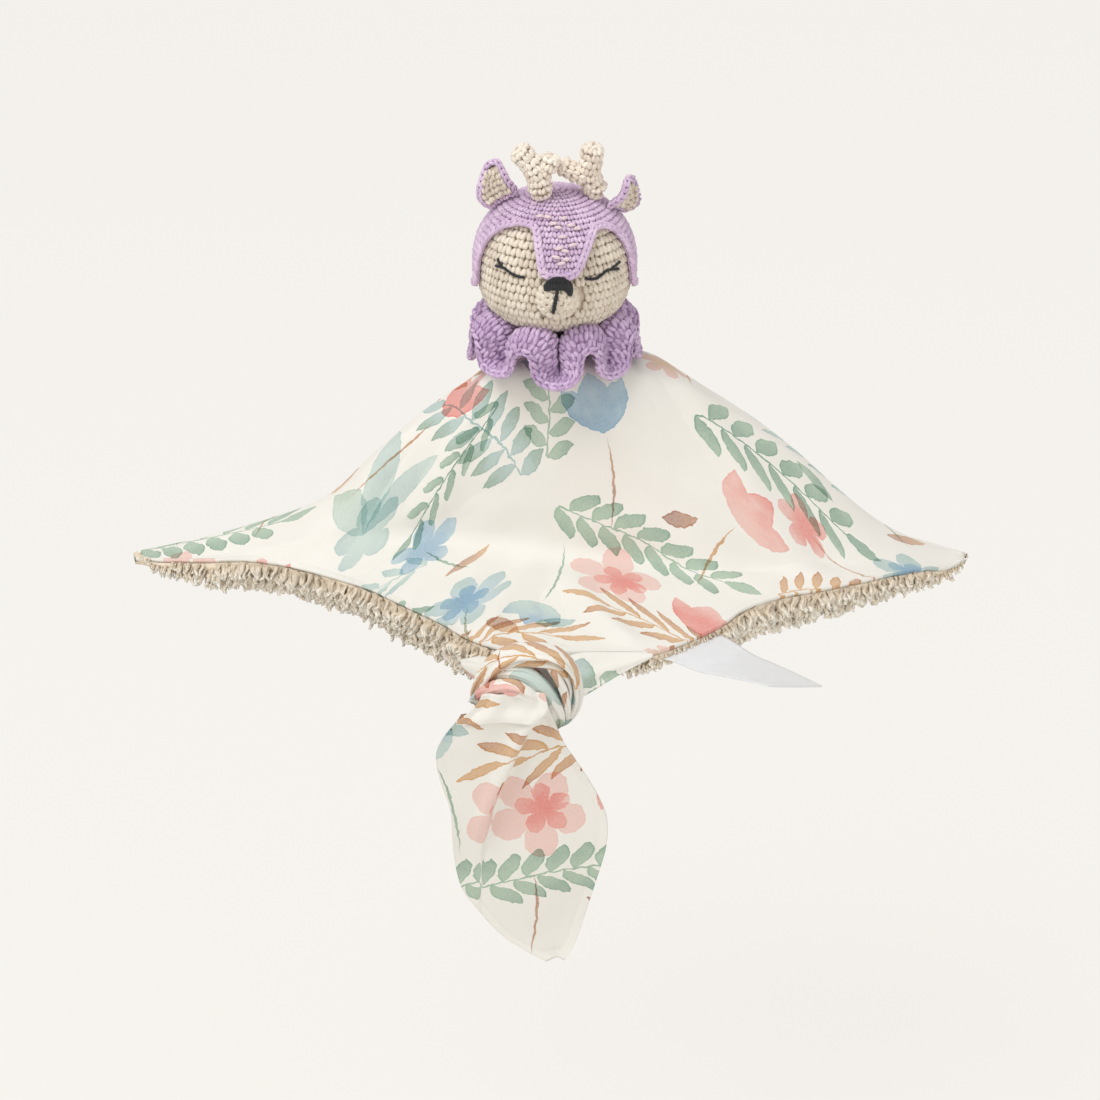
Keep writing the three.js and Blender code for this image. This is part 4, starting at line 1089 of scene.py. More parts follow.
class Rows:
    """Places for stitches: where each stands, what it faces, which way is up its round, and its size."""

    def __init__(self):
        self.at = []
        self.out = []
        self.up = []
        self.size = []

    def add(self, at, out, up, size=(1, 1, 1)):
        self.at.append(at)
        self.out.append(out)
        self.up.append(up)
        self.size.append(size)

    def work(self, name, one, finish, seed, stray=0.06):
        """Crochets the rows with one stitch into a plain mesh."""
        chance = np.random.default_rng(seed)
        count = len(self.at)
        bed = bpy.data.meshes.new(name + "_rows")
        bed.from_pydata(np.asarray(self.at) * mm, [], [])
        columns = {
            "row_out": np.asarray(self.out, float) + chance.normal(0, stray, (count, 3)),
            "row_up": np.asarray(self.up, float) + chance.normal(0, stray, (count, 3)),
            "row_size": np.asarray(self.size, float) * (1 + chance.normal(0, stray * 0.6, (count, 3))),
        }
        for label, values in columns.items():
            layer = bed.attributes.new(label, "FLOAT_VECTOR", "POINT")
            layer.data.foreach_set("vector", values.ravel())
        layer = bed.attributes.new("stitch_shade", "FLOAT", "POINT")
        layer.data.foreach_set("value", chance.random(count))
        holder = bpy.data.objects.new(name + "_rows", bed)
        bpy.context.scene.collection.objects.link(holder)
        return grown(name, holder, crochet_tree, {"Stitch": one, "Yarn": finish.material})


def unit(vectors):
    vectors = np.asarray(vectors, float)
    return vectors / (np.linalg.norm(vectors, axis=-1, keepdims=True) + 1e-12)


def evenly(line, count, shift=0.5, closed=False):
    """Places at equal steps along a line of points, with the line's direction there."""
    line = np.asarray(line, float)
    if closed:
        line = np.concatenate([line, line[:1]])
    run = run_along(line)
    wanted = ((np.arange(count) + shift) / count) % 1 * run[-1]
    step = run[-1] * 1e-3
    ahead = values_at(np.minimum(wanted + step, run[-1]), run, line)
    behind = values_at(np.maximum(wanted - step, 0), run, line)
    return values_at(wanted, run, line), unit(ahead - behind)


def length_of(line, closed=False):
    line = np.asarray(line, float)
    if closed:
        line = np.concatenate([line, line[:1]])
    return float(np.linalg.norm(np.diff(line, axis=0), axis=1).sum())


def lay_rows(rows, grid, row_height, width, closed=False, lift=0.0):
    """Rows of stitches over a grid of points, one row above another from its first line to its last."""
    steps = np.linalg.norm(np.diff(grid, axis=0), axis=-1).mean(axis=1)
    run = np.concatenate([[0], np.cumsum(steps)])
    count = max(1, round(run[-1] / row_height))
    for i in range(count):
        place = np.interp((i + 0.5) / count * run[-1], run, np.arange(len(run)))
        low = min(int(place), len(grid) - 2)
        line = lerp(grid[low], grid[low + 1], place - low)
        across = max(1, round(length_of(line, closed) / width))
        shift = 0.5 + 0.25 * (i % 2) * closed
        at, along_row = evenly(line, across, shift, closed)
        above, _ = evenly(lerp(grid[low], grid[low + 1], place - low + 0.3), across, shift, closed)
        up = unit(above - at)
        out = unit(np.cross(along_row, up))
        wide = length_of(line, closed) / across / width
        tall = run[-1] / count / row_height
        for k in range(across):
            rows.add(at[k] + out[k] * lift, out[k], up[k], (wide, tall, 1))


def lay_chain(rows, line, outs, link, closed=False, size=1.0):
    """A chain-stitch edge: stitches that point along a line."""
    count = max(1, round(length_of(line, closed) / link))
    at, along_line = evenly(line, count, 0.5, closed)
    out = evenly_values(line, outs, count, closed)
    for k in range(count):
        rows.add(at[k], out[k], along_line[k], (size, size, size))


def evenly_values(line, values, count, closed=False):
    """Directions given at the points of a line, at equal steps along it."""
    line = np.asarray(line, float)
    values = np.asarray(values, float)
    if closed:
        line = np.concatenate([line, line[:1]])
        values = np.concatenate([values, values[:1]])
    run = run_along(line)
    wanted = (np.arange(count) + 0.5) / count * run[-1]
    return unit(values_at(wanted, run, values))


# THE HEAD
# A ball crocheted in rounds from the crown down, in cream yarn, and stuffed firmly.
head_radius = 35.7
head_top_height = 32.5
head_bottom_height = 30
head_z = layers_at_crown + 46.5
head_top_roundness = 2.1
head_bottom_roundness = 2.9
head_stitch_width = 5.2
head_round_height = 4.1
head_leg_radius = 1.42


def ball_profile(grow, samples=400):
    """The head's outline from foot to crown: [radius, height], as a turned shape grown by a distance."""
    angles = np.linspace(-math.pi / 2, math.pi / 2, samples)
    turns = np.where(angles < 0, head_bottom_roundness, head_top_roundness)
    heights = np.sign(angles) * np.abs(np.sin(angles)) ** (2 / turns)
    shares = np.maximum(0, 1 - np.abs(heights) ** turns) ** (1 / turns)
    halves = np.where(angles < 0, head_bottom_height, head_top_height)
    return np.stack([shares * (head_radius + grow), head_z + heights * (halves + grow)], axis=1)


def ball_rows(rows, profile, width, height, keep=None):
    """Rounds of stitches on a turned shape, each round a quarter stitch on from the one below."""
    run = run_along(profile)
    count = round(run[-1] / height)
    for i in range(count):
        s = (i + 0.5) / count * run[-1]
        radius, z = values_at(s, run, profile)
        slope = values_at(s + 0.5, run, profile) - values_at(s - 0.5, run, profile)
        slope = slope / np.hypot(*slope)
        around = max(3, round(2 * math.pi * radius / width))
        for k in range(around):
            turn = (k + 0.25 * (i % 2)) / around * 2 * math.pi
            way = np.array([math.sin(turn), -math.cos(turn), 0])
            at = way * radius + (0, 0, z)
            up = way * slope[0] + (0, 0, slope[1])
            out = way * slope[1] - (0, 0, slope[0])
            if keep is None or keep(at):
                rows.add(at, out, up, (2 * math.pi * radius / around / width, run[-1] / count / height, 1))


def turned_ball(name, profile, finish, around=96):
    """A closed turned shape from a profile that starts and ends on the axis."""
    points = [(0, 0, profile[0][1])]
    for radius, z in profile[1:-1]:
        for k in range(around):
            turn = k / around * 2 * math.pi
            points.append((radius * math.cos(turn), radius * math.sin(turn), z))
    points.append((0, 0, profile[-1][1]))
    rings = len(profile) - 2
    faces = [(0, 1 + (k + 1) % around, 1 + k) for k in range(around)]
    faces += ring_faces(rings, around, 1)
    last = 1 + (rings - 1) * around
    faces += [(last + k, last + (k + 1) % around, len(points) - 1) for k in range(around)]
    return make_piece(name, points, faces, finish)


# Under the cream stitches lies a darker cream ground: painted shade in the gaps between stitches. It also
# dresses the muzzle pad, the ear linings, the antler padding and the neck ball.
shaded_under_knit = Finish("cream_yarn_hollow_shade", 0.9)
hollows = shaded_under_knit.noise(shaded_under_knit.place(), 500, 3)
shaded_under_knit.set("Base Color", shaded_under_knit.mixed(hollows, colour(200, 183, 162), colour(224, 209, 190)))
shaded_under_knit.bump(hollows, 0.0005, 0.6)
head_ball = turned_ball("head_ball", ball_profile(-1.9, 60), shaded_under_knit)
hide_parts("head_shell")
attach(head_ball, "head")

cream_stitch = stitch("cream_stitch", head_stitch_width, head_round_height, head_leg_radius)
head_rows = Rows()


muzzle_radius = 9.8
muzzle_x = 1.3
muzzle_drop = 6.2


def face_shows(at):
    """Leaves out the stitches that lie well under the hood or under the muzzle."""
    beside = math.hypot(at[0] - muzzle_x, at[2] - head_z + muzzle_drop) > muzzle_radius + 0.4
    return at[2] < head_z + 27 and (at[1] > 0 or beside)


ball_rows(head_rows, ball_profile(-1.0), head_stitch_width, head_round_height, face_shows)
head_stitches = head_rows.work("head_stitches", cream_stitch, cream, 101)
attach(head_stitches, "head")

# THE HOOD
# A lilac cap crocheted in finer rounds, open round the cheeks and eyes, with a blaze between the openings
# that tapers to the nose. A rolled chain edge runs round all of it.
hood_room = 0.3
hood_thickness = 2.1
rim_drop = 6
rim_tilt = math.radians(17)
rim_front_share = 0.4
hood_stitch_width = 3.5
hood_round_height = 2.8
hood_leg_radius = 1.0
left_window_shares = [
    [-0.15, 0.2], [-0.19, 0.43], [-0.225, 0.66], [-0.29, 0.7], [-0.44, 0.7], [-0.64, 0.63], [-0.8, 0.5],
    [-0.895, 0.36], [-0.965, 0.16], [-0.99, -0.08], [-1, -0.4],
]
right_window_shares = [
    [0.28, 0.2], [0.38, 0.41], [0.465, 0.61], [0.5, 0.65], [0.6, 0.645], [0.76, 0.55], [0.88, 0.39],
    [0.955, 0.19], [0.985, -0.05], [1, -0.4],
]
below_blaze_shares = [[-0.15, 0.2], [-0.08, 0.155], [0.07, 0.14], [0.2, 0.155], [0.28, 0.2]]


def inside_outline(outline, x, z):
    odd = False
    for k, (x1, z1) in enumerate(outline):
        x2, z2 = outline[k - 1]
        if (z1 > z) != (z2 > z) and x < (x2 - x1) * (z - z1) / (z2 - z1) + x1:
            odd = not odd
    return odd


cheeks = [
    left_window_shares + [[-0.15, -0.4]],
    right_window_shares + [[0.28, -0.4]],
    [[-0.16, 0.2], [-0.08, 0.155], [0.07, 0.14], [0.2, 0.155], [0.3, 0.2], [0.3, -0.4], [-0.16, -0.4]],
]


def above_rim(at):
    over = at[2] - head_z + rim_drop
    return math.sin(rim_tilt) * (at[1] + rim_front_share * head_radius) + math.cos(rim_tilt) * over


def on_hood(at, margin=0.0):
    """Whether a place on the ball is covered by the hood, at least by a margin from its edge."""
    if above_rim(at) < margin:
        return False
    if at[1] > 0:
        return True
    x, z = at[0] / head_radius, (at[2] - head_z) / head_radius
    share = margin / head_radius
    for outline in cheeks:
        for dx, dz in ((0, 0), (share, 0), (-share, 0), (0, share), (0, -share)):
            if inside_outline(outline, x + dx, z + dz):
                return False
    return True


def ball_radius_at(height, grow):
    """The head's radius at a height over its middle, grown by a distance."""
    roundness = np.where(height < 0, head_bottom_roundness, head_top_roundness)
    half = np.where(height < 0, head_bottom_height, head_top_height) + grow
    return (head_radius + grow) * np.maximum(0, 1 - np.abs(height / half) ** roundness) ** (1 / roundness)


def onto_ball(outline, grow):
    """A line drawn as seen from the front, laid on the ball's face."""
    line = np.array(outline, float) * head_radius
    radius = ball_radius_at(line[:, 1], grow)
    depth = np.sqrt(np.maximum(0, radius ** 2 - line[:, 0] ** 2))
    return np.stack([line[:, 0], -depth, head_z + line[:, 1]], axis=1)


def ball_out(points):
    """The ball's outward direction at points on it."""
    points = np.asarray(points, float)
    height = points[:, 2] - head_z
    roundness = np.where(height < 0, head_bottom_roundness, head_top_roundness)
    half = np.where(height < 0, head_bottom_height, head_top_height)
    reach = np.hypot(points[:, 0], points[:, 1])
    slope = (reach / head_radius) ** (roundness - 1) / head_radius / (reach + 1e-9)
    rise = np.sign(height) * (np.abs(height) / half) ** (roundness - 1) / half
    return unit(np.stack([points[:, 0] * slope, points[:, 1] * slope, rise], axis=1))


def dense(outline, step=0.02):
    """More points on an outline, its corners a little rounded."""
    line = np.array(outline, float)
    run = run_along(line)
    wanted = np.linspace(0, run[-1], int(run[-1] / step) + 2)
    fine = values_at(wanted, run, line)
    for _ in range(3):
        fine[1:-1] = (fine[:-2] + 2 * fine[1:-1] + fine[2:]) / 4
    return fine


edge_grow = hood_room + hood_thickness * 0.5
left_edge = [at for at in onto_ball(dense(left_window_shares), edge_grow) if above_rim(at) > 0]
right_edge = [at for at in onto_ball(dense(right_window_shares), edge_grow) if above_rim(at) > 0]
blaze_foot = onto_ball(dense(below_blaze_shares), edge_grow)
from_turn = math.atan2(left_edge[-1][0], -left_edge[-1][1])
to_turn = math.atan2(right_edge[-1][0], -right_edge[-1][1]) - 2 * math.pi
rim = []
for turn in np.linspace(from_turn, to_turn, 120)[1:-1]:
    z = head_z - rim_drop
    for _ in range(30):
        reach = float(ball_radius_at(z - head_z, edge_grow))
        y = -reach * math.cos(turn)
        z = head_z - rim_drop - math.tan(rim_tilt) * (y + rim_front_share * head_radius)
    rim.append((reach * math.sin(turn), y, z))
hood_edge = np.array(left_edge + rim + right_edge[::-1] + list(blaze_foot[::-1]))

# Under the lilac stitches lies a darker lilac ground: painted shade in the gaps between stitches. It also
# dresses the ear sheets, the collar's sheet and the neck pad.
hood_hollow_shade = Finish("lilac_yarn_hollow_shade", 0.9)
dark_spots = hood_hollow_shade.noise(hood_hollow_shade.place(), 500, 3)
hood_hollow_shade.set("Base Color", hood_hollow_shade.mixed(dark_spots, colour(166, 138, 172), colour(194, 168, 199)))
hood_hollow_shade.bump(dark_spots, 0.0005, 0.6)
hood_around = 240
hood_levels = 130
profile = ball_profile(hood_room + 0.9, hood_levels)
turns = np.arange(hood_around) / hood_around * 2 * math.pi
skin = np.stack([np.stack([r * np.sin(turns), -r * np.cos(turns), np.full(hood_around, z)], axis=1)
                 for r, z in profile[1:]])
covered = np.array([[on_hood(at, -0.6) for at in ring] for ring in skin])
hood_faces = []
for r in range(len(skin) - 1):
    for k in range(hood_around):
        n = (k + 1) % hood_around
        if covered[r, k] and covered[r, n] and covered[r + 1, k] and covered[r + 1, n]:
            a, b = r * hood_around + k, r * hood_around + n
            hood_faces.append((a, b, b + hood_around, a + hood_around))
hood_lining = make_piece("hood_lining", skin, hood_faces, hood_hollow_shade)


def tidy_shell(made, thickness):
    """Drops loose points and gives a skin a wall inwards."""
    shape = bmesh.new()
    shape.from_mesh(made.data)
    bmesh.ops.delete(shape, geom=[v for v in shape.verts if not v.link_faces], context="VERTS")
    bmesh.ops.remove_doubles(shape, verts=shape.verts, dist=0.00002)
    bmesh.ops.recalc_face_normals(shape, faces=shape.faces)
    shape.to_mesh(made.data)
    shape.free()
    wall = made.modifiers.new("wall", "SOLIDIFY")
    wall.thickness = thickness * mm
    wall.offset = -1
    bpy.context.view_layer.update()
    ready = made.evaluated_get(bpy.context.evaluated_depsgraph_get())
    mesh = bpy.data.meshes.new_from_object(ready)
    made.modifiers.clear()
    made.data = mesh


tidy_shell(hood_lining, 0.8)
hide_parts("hood")
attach(hood_lining, "head")

hood_stitch = stitch("hood_stitch", hood_stitch_width, hood_round_height, hood_leg_radius, sides=6)
hood_rows = Rows()
ball_rows(hood_rows, ball_profile(hood_room + 1.5), hood_stitch_width, hood_round_height,
          lambda at: on_hood(at, 1.0))
hood_stitches = hood_rows.work("hood_stitches", hood_stitch, lilac, 102)
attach(hood_stitches, "head")

link_length = 2.9
edge_radius = 1.1
edge_outs = ball_out(hood_edge)
edge_stitch = stitch("edge_stitch", 3.7, 4.2, 1.0, 0.7, lean=0.3)
edge_rows = Rows()
into_opening = unit(np.cross(np.roll(hood_edge, -1, axis=0) - np.roll(hood_edge, 1, axis=0), edge_outs))
lay_chain(edge_rows, hood_edge + edge_outs * 1.5, edge_outs, link_length, True)
lay_chain(edge_rows, hood_edge + into_opening * 0.9, unit(into_opening * 2 + edge_outs), link_length, True)
hood_chain = edge_rows.work("hood_chain", edge_stitch, lilac, 103, 0.04)
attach(hood_chain, "head")
core = np.concatenate([hood_edge, hood_edge[:2]])
hood_roll = yarn_piece("hood_roll", [tube(core + ball_out(core) * 0.35, edge_radius, 10)], lilac)
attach(hood_roll, "head")


# THE FACE
# A small padded crocheted round for a muzzle, a nose worked over it in satin stitch, and a mouth, eyes and
# lashes of single straight stitches in dark thread. Pale stitches speckle the blaze.
muzzle_depth = 8
muzzle_y = -0.925 * head_radius
muzzle_z = head_z - muzzle_drop
nose_x = 1.6
nose_z = head_z + 2.9


def dome_point(across, up, grow):
    """A place on the muzzle seen from the front, or on the ball where the muzzle isn't."""
    share = ((across - muzzle_x) ** 2 + (up - muzzle_z) ** 2) / (muzzle_radius + grow) ** 2
    muzzle_front = muzzle_y - (muzzle_depth + grow) * math.sqrt(max(0, 1 - share))
    reach = float(ball_radius_at(up - head_z, grow))
    ball_front = -math.sqrt(max(0, reach ** 2 - across ** 2))
    return np.array([across, min(muzzle_front, ball_front) if share < 1 else ball_front, up])


muzzle_rows = Rows()
muzzle_stitch = stitch("muzzle_stitch", 3.9, 3.9, 1.2, 0.5, lean=0.3)
for lean in (0.16, 0.52, 0.90, 1.28):
    ring = []
    ring_out = []
    for turn in np.linspace(0, 2 * math.pi, 60, endpoint=False):
        way = np.array([math.cos(turn), 0, math.sin(turn)])
        reach = (muzzle_radius - 0.7) * math.sin(lean)
        forward = (muzzle_depth - 0.7) * math.cos(lean)
        ring.append(np.array([muzzle_x, muzzle_y, muzzle_z]) + way * reach + (0, -forward, 0))
        ring_out.append(unit(
            way * math.sin(lean) / muzzle_radius - np.array([0, math.cos(lean) / muzzle_depth, 0])))
    lay_chain(muzzle_rows, ring, ring_out, 3.1, True)
muzzle_stitches = muzzle_rows.work("muzzle_stitches", muzzle_stitch, cream, 104, 0.04)
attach(muzzle_stitches, "head")
dome = [(0, -1)] + [(math.sin(a), -math.cos(a)) for a in np.linspace(0.12, 1.75, 14)]
muzzle_points = [(muzzle_x, muzzle_y - muzzle_depth + 1.7, muzzle_z)]
dome_around = 36
for reach, forward in dome[1:]:
    for k in range(dome_around):
        turn = k / dome_around * 2 * math.pi
        wide = (muzzle_radius - 1.7) * reach
        place = (muzzle_x + wide * math.cos(turn), muzzle_y + (muzzle_depth - 1.7) * forward,
                 muzzle_z + wide * math.sin(turn))
        muzzle_points.append(place)
muzzle_faces = [(0, 1 + k, 1 + (k + 1) % dome_around) for k in range(dome_around)]
muzzle_faces += [(a, d, c, b) for a, b, c, d in ring_faces(len(dome) - 1, dome_around, 1)]
muzzle_faces.append(tuple(range(len(muzzle_points) - 1, len(muzzle_points) - 1 - dome_around, -1)))
muzzle_pad = make_piece("muzzle_pad", muzzle_points, muzzle_faces, shaded_under_knit)
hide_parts("muzzle")
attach(muzzle_pad, "head")

dark = yarn("dark_thread", colour(40, 40, 45), colour(24, 24, 27), 2, 1.6, 0.10, 0.3)
nose_threads = []
for k in range(19):
    x = -6.3 + 12.6 * k / 18
    arch = math.sqrt(max(0, 1 - (x / 6.7) ** 2))
    top = -2.9 + 6.3 * arch
    foot = -3.0 - 0.7 * float(smooth(-3, -5.5, x)) - 2.9 * float(smooth(2.5, 5.8, x))
    line = []
    for t in np.linspace(0, 1, 9):
        z = lerp(top, foot, t)
        at = dome_point(nose_x + x * (1 - 0.05 * abs(2 * t - 1)), nose_z + z, 0.3)
        puff = (1.7 * math.sqrt(arch) * math.sin(math.pi * (0.12 + 0.76 * t)) ** 0.7
                + 3.6 * (1 - t) ** 2 * arch)
        line.append(at + (0, -puff - 0.25 * (k % 2), 0))
    nose_threads.append(tube(line, [0.35, 0.5, 0.55, 0.55, 0.55, 0.55, 0.55, 0.5, 0.35], 7))
nose_satin = yarn_piece("nose_satin", nose_threads, dark)
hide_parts("nose")
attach(nose_satin, "head")


def twisted(line, radius, turns_each, sides=7):
    """A two-ply thread: two strands wound round each other along a line."""
    line = np.asarray(line, float)
    tangents = unit(np.gradient(line, axis=0))
    side = unit(np.cross(tangents, (0, 1, 0)))
    other = np.cross(tangents, side)
    run = run_along(line)
    ends = np.minimum(1, 0.4 + 1.2 * np.minimum(run, run[-1] - run) / radius)
    strands = []
    for way in (0, math.pi):
        turn = (run / turns_each * 2 * math.pi + way)[:, None]
        wound = line + (np.cos(turn) * side + np.sin(turn) * other) * radius * 0.42
        strands.append(tube(wound, radius * 0.66 * ends, sides))
    return strands


def on_face(turn, rise, lift):
    height = math.sin(math.radians(rise))
    roundness = head_bottom_roundness if height < 0 else head_top_roundness
    half = head_bottom_height if height < 0 else head_top_height
    radius = (1 - abs(height) ** roundness) ** (1 / roundness) * (head_radius + lift)
    turn = math.radians(turn)
    return np.array([radius * math.sin(turn), -radius * math.cos(turn), head_z + height * (half + lift)])


def fine_run(points, step=0.35):
    points = np.asarray(points, float)
    count = int(length_of(points) / step) + 2
    run = run_along(points)
    wanted = np.linspace(0, run[-1], count)
    fine = values_at(wanted, run, points)
    for _ in range(2):
        fine[1:-1] = (fine[:-2] + 2 * fine[1:-1] + fine[2:]) / 4
    return fine


eye_lines = {
    "left_eye_stitch": [
        [[-49, 10], [-44, 10.6], [-40, 10.5], [-35, 8.4], [-31, 6.8], [-26.5, 6.2], [-22.5, 6.6]],
        [[-47.8, 16.2], [-45, 13], [-41, 10]],
    ],
    "right_eye_stitch": [
        [[54.5, 5.6], [48, 7.4], [42, 8.4], [37, 6.2], [32, 3.8], [27.5, 3.9], [22.5, 5.6]],
        [[57, 11], [51, 9.6], [45, 8]],
    ],
}
for node, lines in eye_lines.items():
    threads = []
    for line in lines:
        threads += twisted(fine_run([on_face(turn, rise, 0.75) for turn, rise in line]), 0.72, 2.4)
    eye = yarn_piece(node + "es", threads, dark)
    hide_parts(node)
    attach(eye, "head")

mouth_line = [
    dome_point(lerp(1.3, -0.9, t), lerp(nose_z - 2.6, muzzle_z - 4.9, t), 0.9) for t in np.linspace(0, 1, 24)]
mouth = yarn_piece("mouth_thread", twisted(mouth_line, 0.95, 3.2), dark)
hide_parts("mouth_stitch")
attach(mouth, "head")

speckle_places = [
    (-16.8, 54.6), (-8, 54.3), (-0.8, 49), (9.8, 53.2), (15.6, 47.1), (3.2, 45.7), (20.8, 44), (6.4, 38.6),
    (14.1, 32.1), (3.5, 30.2), (7.8, 28), (0.9, 23.7), (8.4, 22), (4.4, 19.2),
]
pale_thread = yarn("speckle_thread", colour(253, 240, 238), colour(238, 216, 220), 2, 2.0)
chance = np.random.default_rng(7)
speckles = []
for turn, rise in speckle_places:
    middle = on_face(turn, rise, hood_room + hood_thickness + 1.3)
    out = ball_out([middle])[0]
    across = unit(np.cross((0, 0, 1), out))
    up = np.cross(out, across)
    half = chance.uniform(1.6, 2.0)
    tilt = chance.uniform(-0.25, 0.25)
    line = []
    for t in np.linspace(-1, 1, 9):
        line.append(middle + across * half * t + up * (half * t * tilt) - out * (0.9 * t ** 4 + 0.1))
    speckles.append(tube(line, [0.4, 0.6, 0.7, 0.76, 0.78, 0.76, 0.7, 0.6, 0.4], 9))
speckle_stitches = yarn_piece("speckle_stitches", speckles, pale_thread)
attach(speckle_stitches, "head")

# THE EARS
# Each is a cupped leaf crocheted in lilac, folded and pinched where it is sewn on, edged with chain stitch
# and lined with cream worked in a fan from the pinched foot.
ear_height = 18.5
ear_width = 16
ear_root_share = 0.14
ear_knit_thickness = 2.4
ear_lining_thickness = 1.5
turning_gap = 0.4
ear_outline_shares = [
    [-0.134, 0.38, 0.05], [-0.05, 0.45, 0.08], [0.03, 0.49, 0.11], [0.14, 0.52, 0.15], [0.32, 0.5, 0.19],
    [0.52, 0.43, 0.19], [0.72, 0.33, 0.14], [0.88, 0.22, 0.07], [1, 0.1, 0.02],
]
hood_half_height = head_top_height + hood_room + hood_thickness
hood_radius = head_radius + hood_room + hood_thickness


def hood_place(turn, rise):
    """A place on the hood and the way it faces."""
    height = math.sin(math.radians(rise))
    radius = (1 - height ** head_top_roundness) ** (1 / head_top_roundness)
    way = np.array([math.sin(math.radians(turn)), -math.cos(math.radians(turn)), 0])
    steepness = head_top_roundness - 1
    normal = way * radius ** steepness / hood_radius
    normal[2] = height ** steepness / hood_half_height
    at = way * radius * hood_radius
    at[2] = head_z + height * hood_half_height
    return at, unit(normal)


def spline(points, count):
    """Evenly spaced points on a smooth line through some points."""
    points = np.asarray(points, float)
    steps = np.sqrt(np.linalg.norm(np.diff(points, axis=0), axis=1))
    places = np.concatenate([[0], np.cumsum(steps)])
    fine = np.linspace(0, places[-1], 40 * len(points))
    line = np.stack([along([[p, v] for p, v in zip(places, points[:, k])], fine) for k in range(3)], axis=1)
    run = run_along(line)
    return values_at(np.linspace(0, run[-1], count), run, line)


def leaf_grid(root, root_up, tip_up, face, size, heights, sides, depth, narrow=1.0, crimp=0.0):
    """Points of an ear's sheet: rows up it and columns across it."""
    side = unit(np.cross(root_up, face))
    tall = ear_height * size
    path = spline([root, root + root_up * tall * 0.35, root + root_up * tall * 0.4 + tip_up * tall * 0.6], 60)
    half_table = [[row[0], row[1]] for row in ear_outline_shares]
    cup_table = [[row[0], row[2]] for row in ear_outline_shares]
    grid = []
    for height in heights:
        if height < 0:
            middle = root + root_up * height * tall
        else:
            middle = values_at(height, np.linspace(0, 1, 60), path)
        half = ear_width * float(along(half_table, np.array(height))) * size * narrow
        cup = ear_width * float(along(cup_table, np.array(height))) * size * narrow
        row = []
        for s in sides:
            ripple = crimp * math.cos(s * 9) * (1 - 0.6 * height)
            row.append(middle + side * half * s + face * (cup * s * s + depth + ripple))
        grid.append(row)
    return np.array(grid)


def closed_sheet(name, front, back, finish, uv=None):
    """A closed sheet between two grids of points, its front one facing out."""
    points = np.concatenate([front.reshape(-1, 3), back.reshape(-1, 3)])
    both = None if uv is None else np.concatenate([uv.reshape(-1, 2), uv.reshape(-1, 2)])
    faces = sheet_faces(*front.shape[:2])
    a, b, c, d = np.moveaxis(points[np.array(faces)], 1, 0)
    if (a * (np.cross(b, c) + np.cross(c, d))).sum() < 0:
        faces = [face[::-1] for face in faces]
    return make_piece(name, points, faces, finish, both)


def ear(name, turn, rise, yaw, tip_lean, size, seed):
    at, normal = hood_place(turn, rise)
    root = at + normal * (ear_height * size * ear_root_share + turning_gap)
    tip_up = unit([math.sin(math.radians(tip_lean[0])), math.sin(math.radians(tip_lean[1])), 1])
    towards = np.array([math.sin(math.radians(yaw)), -math.cos(math.radians(yaw)), 0])
    face = unit(towards - normal * (towards @ normal))
    heights = np.linspace(-0.134, 1, 30)
    sides = np.linspace(-1, 1, 25)

    def grid_of(tall, wide, depth, narrow=1.0, crimp=0.0):
        return leaf_grid(root, normal, tip_up, face, size, tall, wide, depth, narrow, crimp)

    front = grid_of(heights, sides, 0.35)
    back = grid_of(heights, sides, -0.35)
    sheet = closed_sheet(name + "_ear_sheet", front, back, hood_hollow_shade)
    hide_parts(name + "_ear_outer")
    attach(sheet, name + "_ear")
    rows = Rows()
    back_rows = grid_of(np.linspace(-0.08, 0.92, 20), np.linspace(0.92, -0.92, 25), -0.75)
    lay_rows(rows, back_rows, hood_round_height, hood_stitch_width)
    foot_rows = grid_of(np.linspace(-0.10, 0.12, 8), np.linspace(-0.9, 0.9, 25), 0.75)
    lay_rows(rows, foot_rows, hood_round_height, hood_stitch_width)
    stitches = rows.work(name + "_ear_stitches", hood_stitch, lilac, seed)
    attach(stitches, name + "_ear")
    outline = np.concatenate([grid_of(np.linspace(-0.1, 0.97, 40), [-0.97], 0.35)[:, 0],
                              grid_of(np.linspace(0.97, -0.1, 40), [0.97], 0.35)[:, 0]])
    edge_out = unit(outline - grid_of([0.4], [0], -4.0)[0, 0] + face * 3)
    edge = Rows()
    lay_chain(edge, outline + edge_out * 0.5, edge_out, link_length, size=0.86)
    chain = edge.work(name + "_ear_chain", edge_stitch, lilac, seed + 1, 0.04)
    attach(chain, name + "_ear")
    lift = (ear_knit_thickness + ear_lining_thickness) / 2 - 0.6
    lining_heights = np.linspace(0.0, 0.86, 24)
    lining_front = grid_of(lining_heights, sides, lift + 0.3, 0.9, 0.5)
    lining_back = grid_of(lining_heights, sides, lift - 0.4, 0.9, 0.5)
    lining = closed_sheet(name + "_ear_lining_pad", lining_front, lining_back, shaded_under_knit)
    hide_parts(name + "_ear_lining")
    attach(lining, name + "_ear")
    fan = Rows()
    lay_rows(
        fan, grid_of(np.linspace(0.03, 0.84, 20), np.linspace(-0.88, 0.88, 21), lift + 0.5, 0.9, 0.5),
        3.0, 2.7)
    worked_fan = fan.work(name + "_ear_fan", hood_stitch, cream, seed + 2, 0.09)
    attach(worked_fan, name + "_ear")


ear("left", -88, 55.5, -12, (-3, -6), 1, 110)
ear("right", 88, 47, 56, (6, -24), 0.92, 120)

# THE ANTLERS
# Each is a stuffed tube crocheted in rounds, with a shorter tine sewn to its side.
antler_radius = 4.8
tine_radius = 3.9
antler_stitch_width = 4.3
antler_round_height = 3.4


def rounded_tube(radius, place, length):
    from_end = min(place, length - place)
    if from_end >= radius:
        return radius
    return math.sqrt(max(0, radius ** 2 - (radius - from_end) ** 2)) + radius * 0.12


